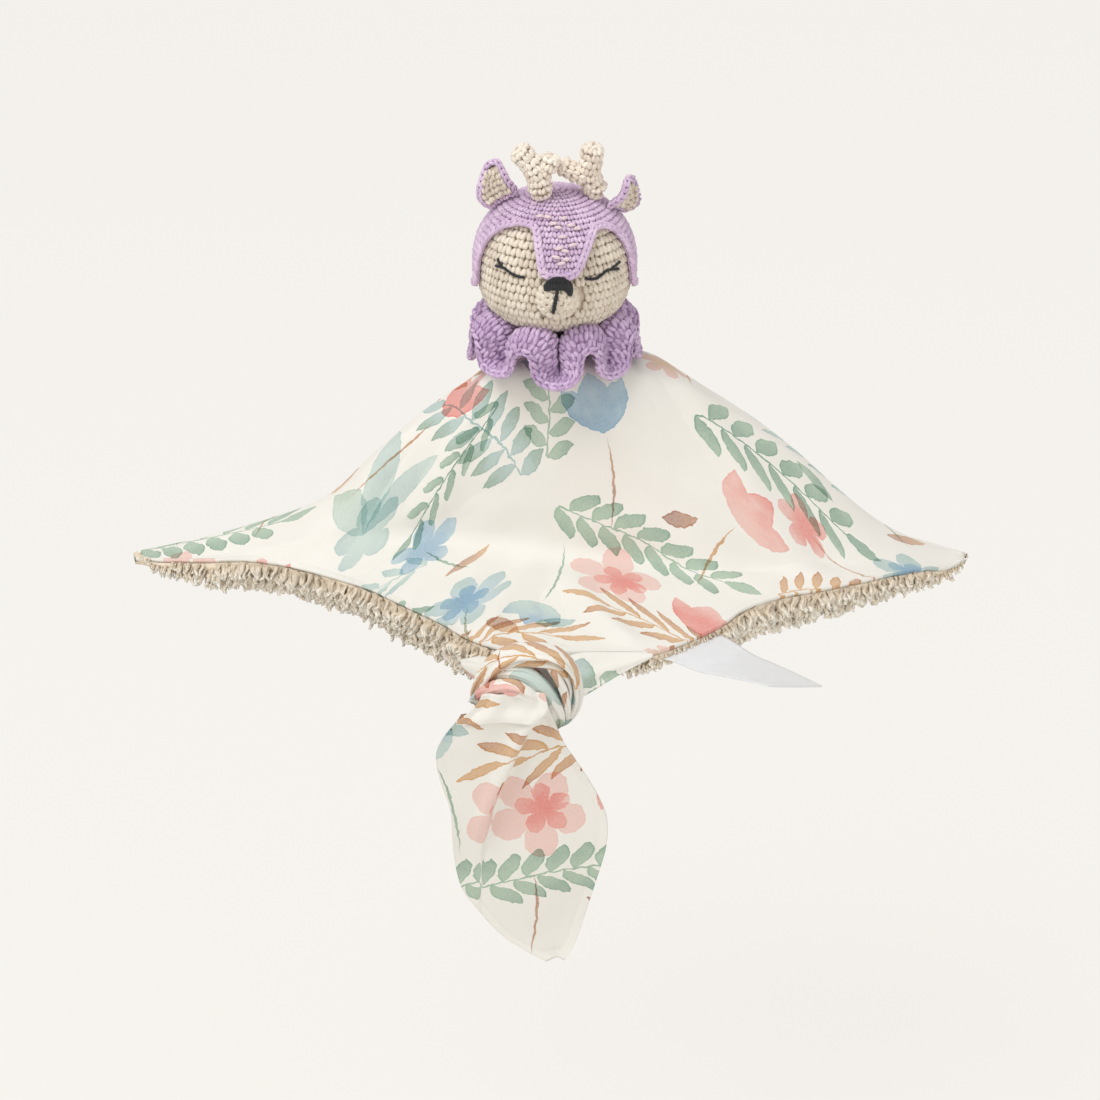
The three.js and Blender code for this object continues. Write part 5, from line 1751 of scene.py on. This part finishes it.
def crocheted_tube(rows, points, radius, first=0.0):
    """Rounds of stitches on a rounded tube along a smooth line, and the padding inside it."""
    line = spline(points, 60)
    length = length_of(line)
    run = np.linspace(0, length, 60)
    tangents = unit(np.gradient(line, axis=0))
    side = unit(np.cross(tangents[0], (0.3, 1, 0.1)))
    sides = []
    for tangent in tangents:
        side = unit(side - tangent * (side @ tangent))
        sides.append(side)
    sides = np.array(sides)
    count = round((length - first) / antler_round_height)
    for i in range(count + 1):
        place = min(first + (i + 0.5) / count * (length - first), length - 0.5)
        middle, tangent, side = [values_at(place, run, values) for values in (line, tangents, sides)]
        reach = rounded_tube(radius, place, length)
        ahead = rounded_tube(radius, min(length, place + 0.4), length)
        before = rounded_tube(radius, max(0, place - 0.4), length)
        slope = (ahead - before) / 0.8
        other = np.cross(tangent, side)
        around = max(3, round(2 * math.pi * reach / antler_stitch_width))
        for k in range(around):
            turn = (k + 0.25 * (i % 2)) / around * 2 * math.pi
            way = math.cos(turn) * side + math.sin(turn) * other
            out = unit(way - tangent * slope)
            up = unit(tangent + way * slope)
            rows.add(
                middle + way * (reach - 0.7), out, up,
                (2 * math.pi * reach / around / antler_stitch_width, 1, 1))
    radii = [max(0.3, rounded_tube(radius, s, length) - 1.5) for s in run]
    return tube(line, radii, 14)


antler_stitch = stitch("antler_stitch", antler_stitch_width, antler_round_height, 1.2, 0.7)


def antler(name, turn, rise, main_shares, tine_shares, seed):
    at, normal = hood_place(turn, rise)
    joint = at + normal * (antler_radius + turning_gap)
    start = joint - normal * antler_radius * 0.96
    points = [start, joint] + [joint + np.array(share) * antler_radius for share in main_shares]
    tine = [joint + np.array(share) * antler_radius for share in tine_shares]
    rows = Rows()
    pads = [crocheted_tube(rows, points, antler_radius), crocheted_tube(rows, tine, tine_radius, 2.5)]
    padding = yarn_piece(name + "_antler_padding", pads, shaded_under_knit)
    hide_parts(name + "_antler_stem", name + "_antler_tine")
    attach(padding, name + "_antler")
    stitches = rows.work(name + "_antler_stitches", antler_stitch, antler_cream, seed, 0.12)
    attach(stitches, name + "_antler")


antler("left", -31, 74, [[-0.35, -0.05, 1.4], [-1.1, -0.1, 2.7], [-2.2, -0.2, 3.9]],
       [[-0.3, -0.05, 1.1], [0.6, 0, 2], [1.15, 0, 3.2]], 130)
antler("right", 80, 66, [[-0.5, -0.3, 1.3], [-0.35, -0.5, 2.8], [-0.1, -0.7, 4.4]],
       [[-0.5, -0.3, 1], [-1.9, -0.4, 1.6], [-3.3, -0.5, 2.4]], 140)

# THE COLLAR
# A frill worked onto the neck in tall stitches, with more of them in each round, so it stands in fat waves.
# A chain edge runs along its free border.
neck_base_radius = 15
collar_inner = neck_base_radius + touching_gap
collar_radius = 39.5
collar_waves = 8
collar_around = 640
collar_steps = 26
ridge_height_table = [[0, 5], [0.18, 15], [0.4, 21.5], [0.6, 23], [0.82, 20.5], [1, 15.5]]
valley_height_table = [[0, 5], [0.22, 7], [0.45, 5], [0.75, 1.6], [1, -0.4]]
wide_valley_table = [[0, 0], [0.2, -0.5], [0.45, -1.05], [0.72, -0.95], [0.88, -0.2], [1, 0.5]]
fold_table = [[0, 0], [0.2, 0.25], [0.5, 0.5], [0.8, 0.5], [1, 0.42]]
collar_turns = np.arange(collar_around) / collar_around * 2 * math.pi
collar_places = np.linspace(0, 1, collar_steps)


def collar_point(phase, place):
    """The frill's middle surface, by a place round it and its share from neck to edge."""
    beat = collar_waves * phase
    own = 1 + 0.09 * np.sin(phase * 3 + 0.8) + 0.06 * np.sin(phase * 5 + 2.0)
    ridge = along(ridge_height_table, place)
    valley = along(valley_height_table, place)
    height = layers_at_crown + (ridge + valley) / 2 - (ridge - valley) / 2 * own * np.cos(beat)
    wide = along(wide_valley_table, place)
    fold = along(fold_table, place)
    turn = phase + (wide * np.sin(beat) + fold * np.sin(2 * beat)) / collar_waves
    turn += 0.13 * (1 - place) * np.cos(phase) + 0.03 * np.sin(phase * 2 + 1) * place
    reach = lerp(collar_inner, collar_radius, place) - 0.8 * np.cos(beat) * np.sin(place * math.pi)
    return np.stack([reach * np.sin(turn), -reach * np.cos(turn), height], axis=-1)


collar_grid = np.stack([collar_point(collar_turns, np.full(collar_around, place)) for place in collar_places])


def ring_normals(grid):
    around = (np.roll(grid, -1, axis=1) - np.roll(grid, 1, axis=1))
    outward = np.gradient(grid, axis=0)
    return unit(np.cross(around, outward))


def closed_ring(name, upper, lower, finish):
    """A closed ring-shaped sheet between two grids that run round."""
    rows_count, columns = upper.shape[:2]
    points = np.concatenate([upper.reshape(-1, 3), lower.reshape(-1, 3)])
    count = rows_count * columns
    faces = []
    for r in range(rows_count - 1):
        for k in range(columns):
            n = (k + 1) % columns
            a, b = r * columns + k, r * columns + n
            faces.append((a, a + columns, b + columns, b))
            faces.append((count + a, count + b, count + b + columns, count + a + columns))
    last = (rows_count - 1) * columns
    for k in range(columns):
        n = (k + 1) % columns
        faces.append((k, n, count + n, count + k))
        faces.append((last + k, count + last + k, count + last + n, last + n))
    return make_piece(name, points, faces, finish)


collar_out = ring_normals(collar_grid)
if collar_out[2, :, 2].mean() < 0:
    collar_out = -collar_out
collar_sheet = closed_ring(
    "collar_sheet", collar_grid + collar_out * 0.45, collar_grid - collar_out * 0.45, hood_hollow_shade)
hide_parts("collar_ruffle")
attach(collar_sheet, "blanket")
tall_stitch = stitch("tall_stitch", 4.6, 4.4, 1.15, 0.9, sides=6, steps=5)
rope_stitch = stitch("rope_stitch", 3.9, 4.6, 1.0, 0.6, lean=0.3)
collar_rows = Rows()
lay_rows(collar_rows, collar_grid, 4.0, 4.6, True, 0.5)
lay_rows(collar_rows, collar_grid[:, ::-1], 4.0, 4.6, True, 0.5)
# The frill's stitches and rope take the darker copy of the lilac yarn, as painted shade.
collar_stitches = collar_rows.work("collar_stitches", tall_stitch, shaded_frill_lilac, 150, 0.09)
edge_line = collar_grid[-1]
edge_away = unit(collar_grid[-1] - collar_grid[-3])
rope_rows = Rows()
for side_turn in (0.9, -0.9):
    lay_chain(rope_rows, edge_line + edge_away * 0.5 + collar_out[-1] * 0.55 * side_turn,
              unit(edge_away + collar_out[-1] * side_turn), 3.7, True)
collar_rope = rope_rows.work("collar_rope", rope_stitch, shaded_frill_lilac, 151, 0.05)
for frill in (collar_stitches, collar_rope):
    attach(frill, "blanket")
for frill in (collar_sheet, collar_stitches, collar_rope):
    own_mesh(frill)


# THE NECK
# A padded crocheted round sewn to the cloth, a ball of crochet that sits in it, and the fibre that fills the
# ball and the head.
neck_ball_radius = 12.5
neck_base_height = 7
neck_pivot_z = layers_at_crown + 14
neck_seat = layers_at_crown + touching_gap
ball_room = neck_ball_radius + turning_gap
pad_top = neck_seat + neck_base_height
bowl_start = math.asin((neck_pivot_z - pad_top) / ball_room)
bowl = [
    (ball_room * math.cos(a), neck_pivot_z - ball_room * math.sin(a))
    for a in np.linspace(bowl_start, 1.5, 8)]
pad_profile = [(0, neck_seat), (12.8, neck_seat), (14.2, neck_seat + 0.6), (14.4, neck_seat + 3.5)]
pad_profile += [(14.2, pad_top - 1.2), (13.2, pad_top), *bowl, (0, neck_pivot_z - ball_room)]
neck_pad = turned_ball("neck_pad", pad_profile, hood_hollow_shade, 64)
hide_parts("neck_base")
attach(neck_pad, "blanket")
pad_rows = Rows()
side_profile = np.array([(14.3, neck_seat + 0.3), (14.3, pad_top - 0.4)])
ball_rows(pad_rows, side_profile, hood_stitch_width, hood_round_height)
pad_stitches = pad_rows.work("neck_pad_stitches", hood_stitch, lilac, 160)
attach(pad_stitches, "blanket")


def round_profile(radius, middle, samples=24):
    angles = np.linspace(-math.pi / 2, math.pi / 2, samples)
    return np.stack([radius * np.cos(angles), middle + radius * np.sin(angles)], axis=1)


neck_ball = turned_ball("neck_ball", round_profile(neck_ball_radius - 1.6, neck_pivot_z), shaded_under_knit, 48)
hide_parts("neck_knit")
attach(neck_ball, "neck")
neck_rows = Rows()
ball_rows(neck_rows, round_profile(neck_ball_radius - 1.0, neck_pivot_z, 60),
          head_stitch_width, head_round_height)
neck_stitches = neck_rows.work("neck_ball_stitches", cream_stitch, cream, 161)
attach(neck_stitches, "neck")

fibre = Finish("stuffing_fibre", 1.0)
strands = fibre.noise(fibre.place(), 700, 4, 0.7)
fibre.set("Base Color", fibre.mixed(strands, colour(222, 219, 210), colour(246, 244, 238)))
fibre.bump(strands, 0.0006, 0.8)
core_profile = round_profile(neck_ball_radius - 2.6, neck_pivot_z)
for name, node, body, shape in (("neck_filling", "neck_core", "neck_middle", core_profile),
                                ("head_filling", "head_stuffing", "head", ball_profile(-3.6, 30))):
    filling = turned_ball(name, shape, fibre, 40)
    chance = np.random.default_rng(3)
    for vertex in filling.data.vertices:
        vertex.co *= 1 - 0.012 * chance.random()
    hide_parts(node)
    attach(filling, body)

# THE KNOT
# The front corner is gathered into a rope and tied in an overhand knot. The rope shows as straps of folded
# cloth: an outer one that goes round, a second over it, an inner one over the tail, and a thin curl.
knot_x = -11
throat_seat_share = 0.93
throat_y = -front_reach * throat_seat_share - touching_gap
knot_z = hem_level + 8
tail_hinge_z = hem_level + 3
tail_hang_y = -166.35
tail_half_depth = 4.25


def strap(name, stations, across_ways, creases, offset, finish,
          around=56, steps=110, crease_depth=0.34, ripple=0.5):
    """A strap of folded cloth: [x, y, z, half width, half depth] stations, with folds that run along it."""
    table = np.array(stations, float)
    middle = spline(table[:, :3], steps)
    places = np.concatenate([[0], np.cumsum(np.sqrt(np.linalg.norm(np.diff(table[:, :3], axis=0), axis=1)))])
    fine = np.linspace(0, places[-1], steps)
    half_width = along([[p, v] for p, v in zip(places, table[:, 3])], fine)
    half_depth = along([[p, v] for p, v in zip(places, table[:, 4])], fine)
    tangents = unit(np.gradient(middle, axis=0))
    depth_way = unit(
        np.array(across_ways, float) - tangents * (tangents @ np.array(across_ways, float))[:, None])
    width_way = np.cross(tangents, depth_way)
    turns = np.arange(around) / around * 2 * math.pi
    run = run_along(middle)
    chance = np.random.default_rng(len(stations) * 7 + creases)
    lines = chance.uniform(-0.75, 0.75, creases)
    drift = chance.uniform(-0.35, 0.35, creases)
    points = []
    cut = []
    for s in range(steps):
        c = np.cos(turns)
        d = np.sin(turns)
        share = s / (steps - 1)
        depth = np.abs(d) ** 0.75 * np.sign(d)
        fold = np.ones(around)
        for line, slide in zip(lines, drift):
            centre = line + slide * (share - 0.5) + 0.08 * math.sin(share * 9 + line * 20)
            fold -= (crease_depth * np.exp(-((c - centre) / 0.10) ** 2)
                     * (0.6 + 0.4 * math.sin(share * 7 + line * 9)))
        fold += 0.10 * np.sin(c * 6 + share * 5)
        wide = half_width[s] * (1 + 0.03 * ripple * math.sin(share * 17))
        ring = (middle[s] + np.outer(c * wide, width_way[s])
                + np.outer(depth * fold * half_depth[s], depth_way[s]))
        points.append(ring)
        spread = (turns / (2 * math.pi)) * 4 * (half_width[s] + half_depth[s])
        cut.append(np.stack([np.full(around, run[s]), spread], axis=1))
    points = np.concatenate(points)
    uv = (np.concatenate(cut) + np.array(offset)) / cut_unit
    faces = [(a, d, c, b) for a, b, c, d in ring_faces(steps, around)]
    faces.append(tuple(range(around)))
    faces.append(tuple((steps - 1) * around + k for k in range(around - 1, -1, -1)))
    made = make_piece(name, points, faces, finish, uv)
    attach(made, "blanket")
    rings = points.reshape(steps, around, 3)
    girth = np.linalg.norm(rings - np.roll(rings, 1, axis=1), axis=-1).sum(axis=1).mean()
    wide, long = girth / 2 * mm, run[-1] * mm
    wide * long
    return made


towards_viewer = (0, -1, 0.15)
outer_stations = [
    [-31, -150, -99, 1.2, 2.0], [-34.4, -153.5, -91.5, 2.8, 3.5],
    [-30.3, -156, -80.6, 4.2, 5.0], [-25, -157.5, -73, 4.8, 6.0],
    [-18, -158.5, -68.6, 5.0, 6.5], [-10, -158.5, -67.9, 5.0, 6.8],
    [-2, -158, -69.2, 5.0, 7], [4.6, -157, -74.2, 4.4, 6.6],
    [8.2, -156, -82.3, 3.8, 6], [8.6, -156, -91.9, 3.6, 5.2],
    [5.4, -155.5, -100.2, 3.0, 3.8], [0.5, -153.5, -107.0, 0.7, 1.2],
]
outer_strap = strap("knot_outer_strap", outer_stations, towards_viewer, 4, (30, 10), cotton)
second_stations = [
    [-29, -155, -80, 1.4, 2], [-21.5, -160.5, -75.6, 3.2, 3.4], [-13.0, -163.8, -75.6, 3.9, 4.4],
    [-6.2, -164.5, -81.0, 4.1, 4.4], [-1.3, -163.5, -89.0, 3.8, 4.0], [1.6, -161.5, -97.0, 3.2, 3.0],
    [1.6, -158, -103, 2.0, 1.8], [-0.5, -156, -107, 0.6, 0.8],
]
strap("knot_second_strap", second_stations, towards_viewer, 3, (96, 40), cotton)
inner_stations = [
    [-36.5, -154, -93, 1.6, 2.0], [-31.6, -161, -86.2, 2.8, 3.2], [-25.5, -166, -80.6, 3.4, 4.0],
    [-18.6, -168.2, -78.9, 3.6, 4.2], [-12.4, -168.2, -81.6, 3.5, 4.2], [-7.6, -166, -86.8, 3.0, 3.4],
    [-4.0, -162, -93, 1.8, 2.2],
]
strap("knot_inner_strap", inner_stations, towards_viewer, 3, (150, 84), cotton)
curl_stations = [
    [-4.5, -160, -71.5, 0.8, 1.4], [-0.5, -163, -74.6, 1.7, 2.2],
    [2.6, -163.6, -80, 1.9, 2.2], [4.6, -162.8, -86.6, 1.8, 2.0],
    [5.6, -161.4, -93.4, 1.5, 1.6], [5.4, -160, -99, 0.7, 1.0],
]
strap("knot_curl", curl_stations, towards_viewer, 1, (70, 30), cotton, 40, 60)
heart_stations = [
    [-9, -146, -74, 6, 5], [-4, -149, -79, 9, 6],
    [0, -150, -87, 9.5, 6.5], [2, -150, -95, 8, 5.5], [3, -150, -102, 4, 3],
]
strap("knot_heart", heart_stations, towards_viewer, 6, (180, 10), cotton, 72, 60, 0.55)
throat_stations = [
    [knot_x - 3.5, throat_y + 5, hem_level + 8.5, 28, 3.0],
    [knot_x - 3.0, throat_y - 2, hem_level + 8.5, 26.5, 5.5],
    [knot_x - 2.5, throat_y - 9, hem_level + 9, 22.5, 8.5], [knot_x - 2, throat_y - 17, knot_z + 1.5, 17, 10],
    [knot_x - 1, throat_y - 27, knot_z + 4, 12, 9], [knot_x - 1, tail_hang_y + 8, knot_z + 6, 9, 6],
]
strap("knot_throat", throat_stations, (0, 0, 1), 5, (60, 120), cotton, 84, 80, 0.5)
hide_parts("corner_knot")


def gathered_flap(name, high, low, bulge, pleats, place):
    """A corner of cloth drawn into the knot, between a high line and a low one, with pleats by the knot."""
    lines = 24
    high, low = spline(high, 60), spline(low, 60)
    share = np.linspace(0, 1, lines)[:, None, None]
    across = np.linspace(0, 1, 60)[None, :]
    flap = lerp(high[None], low[None], share)
    lift = bulge * np.sin(share[..., 0] * math.pi) * np.sin(across * math.pi) ** 0.5
    lift = lift + 0.9 * np.sin(share[..., 0] * pleats * math.pi * 2) * (1 - across) ** 1.5
    flap[..., 1] -= lift
    flap[..., 2] += 0.3 * lift
    cut = np.stack([flap[..., 0] + place[0], flap[..., 2] * -1.1 + place[1]], axis=-1) / cut_unit
    under = flap + np.array([0, print_thickness, -0.2])
    made = closed_sheet(name, flap[:, ::-1], under[:, ::-1], cotton, cut[:, ::-1])
    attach(made, "blanket")


gathered_flap("knot_right_flap", [[-2, -146, -80], [10, -136, -79.5], [26, -129, -82.5], [44, -125.5, -84.6]],
              [[8, -153, -95], [16, -146, -93.5], [29, -137, -89.6], [44, -127.5, -85.8]], 2.2, 2, (188, -63))

# THE TAIL
# The corner beyond the knot: both layers of cloth, hanging free, its left half lapped over its right one.
tail_length = 123
tail_width = 76
tail_left_shares = [
    [-0.12, 0.27], [-0.075, 0.31], [-0.03, 0.4], [0, 0.44],
    [0.06, 0.505], [0.125, 0.54], [0.238, 0.512], [0.343, 0.463],
    [0.552, 0.445], [0.678, 0.405], [0.76, 0.325], [0.887, 0.165], [0.97, -0.01], [1, -0.09],
]
tail_right_shares = [
    [-0.12, 0.09], [-0.05, 0.115], [0, 0.14], [0.06, 0.175],
    [0.115, 0.22], [0.184, 0.29], [0.297, 0.39], [0.4, 0.45],
    [0.5, 0.448], [0.594, 0.415], [0.76, 0.345], [0.9, 0.28], [0.96, 0.24], [1, 0.2],
]
tail_fold_shares = [
    [-0.12, 0.16], [-0.055, 0.105], [0.04, -0.008],
    [0.179, -0.103], [0.337, -0.208], [0.55, -0.28], [1, -0.31],
]
tail_rows = 150
tail_columns = 90


def tail_grid(depth, inset=0.0, places=np.linspace(0, 1, tail_rows)):
    """The tail's sheet at a depth behind its middle: rows down it and columns from its left to its right."""
    places = places[:, None]
    sides = np.linspace(0, 1, tail_columns)[None, :]
    flat = places[:, 0]
    left = inset - along(tail_left_shares, flat)[:, None] * tail_width
    right = along(tail_right_shares, flat)[:, None] * tail_width - inset
    x = lerp(left, right, sides)
    fold_x = along(tail_fold_shares, flat)[:, None] * tail_width
    fading = smooth(-0.2, 0.03, places) * smooth(0.62, 0.32, places)
    off = x - fold_x
    step = smooth(1.3, -0.9, off)
    lip = np.exp(-((off + 3.4) / 3.2) ** 2)
    y = -5.2 * fading * (step - 0.45) - 1.6 * lip * fading
    pleats = smooth(0.34, 0.02, places)
    span = (x - left) / (right - left + 1e-6)
    y += 1.3 * pleats * np.sin(span * 15 + 0.8 + places * 3) * (1 - 0.5 * step)
    slack = smooth(0.4, 1.0, places)
    y += 1.5 * slack * np.sin(span * 5.2 + places * 4.5) + 0.9 * np.sin(places * 7 + span * 2)
    edge = np.minimum(x - left, right - x)
    end_gap = (1 - places) * tail_length - inset
    edge = np.minimum(edge, end_gap)
    y -= 0.5 * np.exp(-(edge / 2.2) ** 2) - 0.3 * np.exp(-((edge - 4.0) / 0.8) ** 2)
    points = np.stack(
        [knot_x + x, tail_hang_y + depth + y, tail_hinge_z - places * tail_length + 0 * x], axis=-1)
    cut = np.stack([x + 11 * step, places * tail_length + 0 * x], axis=-1)
    return points, cut


def with_cap(depth):
    """The tail's sheet with its top rounded over, so that it can swing under the knot."""
    grid, cut = tail_grid(depth)
    for lift in (0.2, 0.4, 0.58, 0.72, 0.83, 0.92, 0.98):
        rise = tail_half_depth * lift
        half = math.sqrt(max(0, tail_half_depth ** 2 - rise ** 2))
        row, row_cut = tail_grid(max(-half, min(half, depth)), 0.0, np.array([-rise / tail_length]))
        grid = np.concatenate([row, grid])
        cut = np.concatenate([row_cut, cut])
    return grid, cut


tail_print_place = (25, 20)
front_capped, tail_cut = with_cap(-tail_half_depth)
back_capped, _ = with_cap(-tail_half_depth + print_thickness)
tail_uv = (tail_cut + tail_print_place) / cut_unit
root_places = np.linspace(-0.12, -0.0146, 24)
root_front, root_cut = tail_grid(-tail_half_depth, 0.0, root_places)
root_back, _ = tail_grid(-tail_half_depth + print_thickness, 0.0, root_places)
root_lap = 1.7 * smooth(-0.075, -0.03, root_places)[:, None]
root_front[..., 1] -= root_lap
root_back[..., 1] -= root_lap
root_uv = (root_cut + tail_print_place) / cut_unit
tail_root = closed_sheet("tail_root", root_front, root_back, cotton, root_uv)
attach(tail_root, "blanket")
tail_print = closed_sheet("tail_cotton", front_capped, back_capped, cotton, tail_uv)
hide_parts("tail_print")
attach(tail_print, "tail")
ground_places = np.linspace(0, 0.99, tail_rows)
ground_front, _ = tail_grid(print_thickness + touching_gap - tail_half_depth, 1.6, ground_places)
ground_back, _ = tail_grid(0.4, 1.6, ground_places)
tail_ground = closed_sheet("tail_ground", ground_front, ground_back, ground)
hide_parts("tail_plush")
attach(tail_ground, "tail")
tail_bed = seedbed("tail_bed", ground_back[4:-2:5, 2:-2:4])
tail_pile = plush_pile("tail_pile", tail_bed, lining_tufts, 0.085, 0.9, (0.55, 0.8), 31, "tail")

# THE LABEL
# A bare strip of white woven tape, folded double and sewn into the right front hem.
label_width = 35
label_length = 51
label_thickness = 0.9
label_seam_height = 10
label_seam_clearance = 0.4
label_seam_shares = [0.247, 0.367]
label_heading = math.radians(-26)
label_sag_share = 0.08
label_drop = 4.0
label_twist = math.radians(-21)
hem_points = cloth_row(np.array(label_seam_shares), -1.0)
off_hem = np.cross(hem_points[1] - hem_points[0], (0, 0, 1))
off_hem[2] = 0
off_hem *= (label_seam_clearance + label_thickness / 2) / np.linalg.norm(off_hem)
seam = hem_points + off_hem
seam[:, 2] = hem_level + label_seam_height
seam_line = unit(seam[1] - seam[0])
seam_middle = (seam[0] + seam[1]) / 2
heading = np.array([math.cos(label_heading), math.sin(label_heading), 0])
label_front = []
label_back = []
for t in np.linspace(0, 1, 40):
    middle = seam_middle + heading * label_length * t
    middle = middle - (0, 0, label_length * label_sag_share * t * t + label_drop * smooth(0, 0.4, t))
    turn = label_twist * t
    across = seam_line * math.cos(turn) + np.cross(heading, seam_line) * math.sin(turn)
    across += heading * (heading @ seam_line) * (1 - math.cos(turn))
    up = unit(np.cross(heading, across))
    line = np.linspace(-0.5, 0.5, 30)[:, None]
    curl = 0.9 * np.sin(math.pi * (line + 0.5)) * math.sin(math.pi * min(1, t * 1.1)) * up
    puff = 0.5 * label_thickness * (0.55 + 0.45 * np.cos(math.pi * line))
    label_front.append(middle + across * label_width * line + up * puff + curl)
    label_back.append(middle + across * label_width * line - up * puff + curl)
label_front, label_back = np.stack(label_front), np.stack(label_back)
tape = Finish("label_tape", 0.55, Sheen_Weight=0.2)
tape_cut = np.stack(
    np.meshgrid(np.linspace(0, label_width, 30), np.linspace(0, label_length, 40)), axis=-1) / cut_unit
where = tape.node("ShaderNodeUVMap", {"uv_map": "cut"}, {})
tape_across, tape_along, _ = tape.axes(where)
rib = (tape_along * (2 * math.pi / 0.005)).wave()
warp = (tape_across * (2 * math.pi / 0.003)).wave()
tape_tone = tape.noise(tape.place(), 200, 2)
tape.set("Base Color", tape.mixed(tape_tone, colour(226, 228, 230), colour(238, 239, 240)))
tape.bump(rib * 0.7 + warp * 0.3, 0.00008, 0.6)
label_piece = closed_sheet("label_strip", label_front, label_back, tape, tape_cut)
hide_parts("side_label")
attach(label_piece, "label")
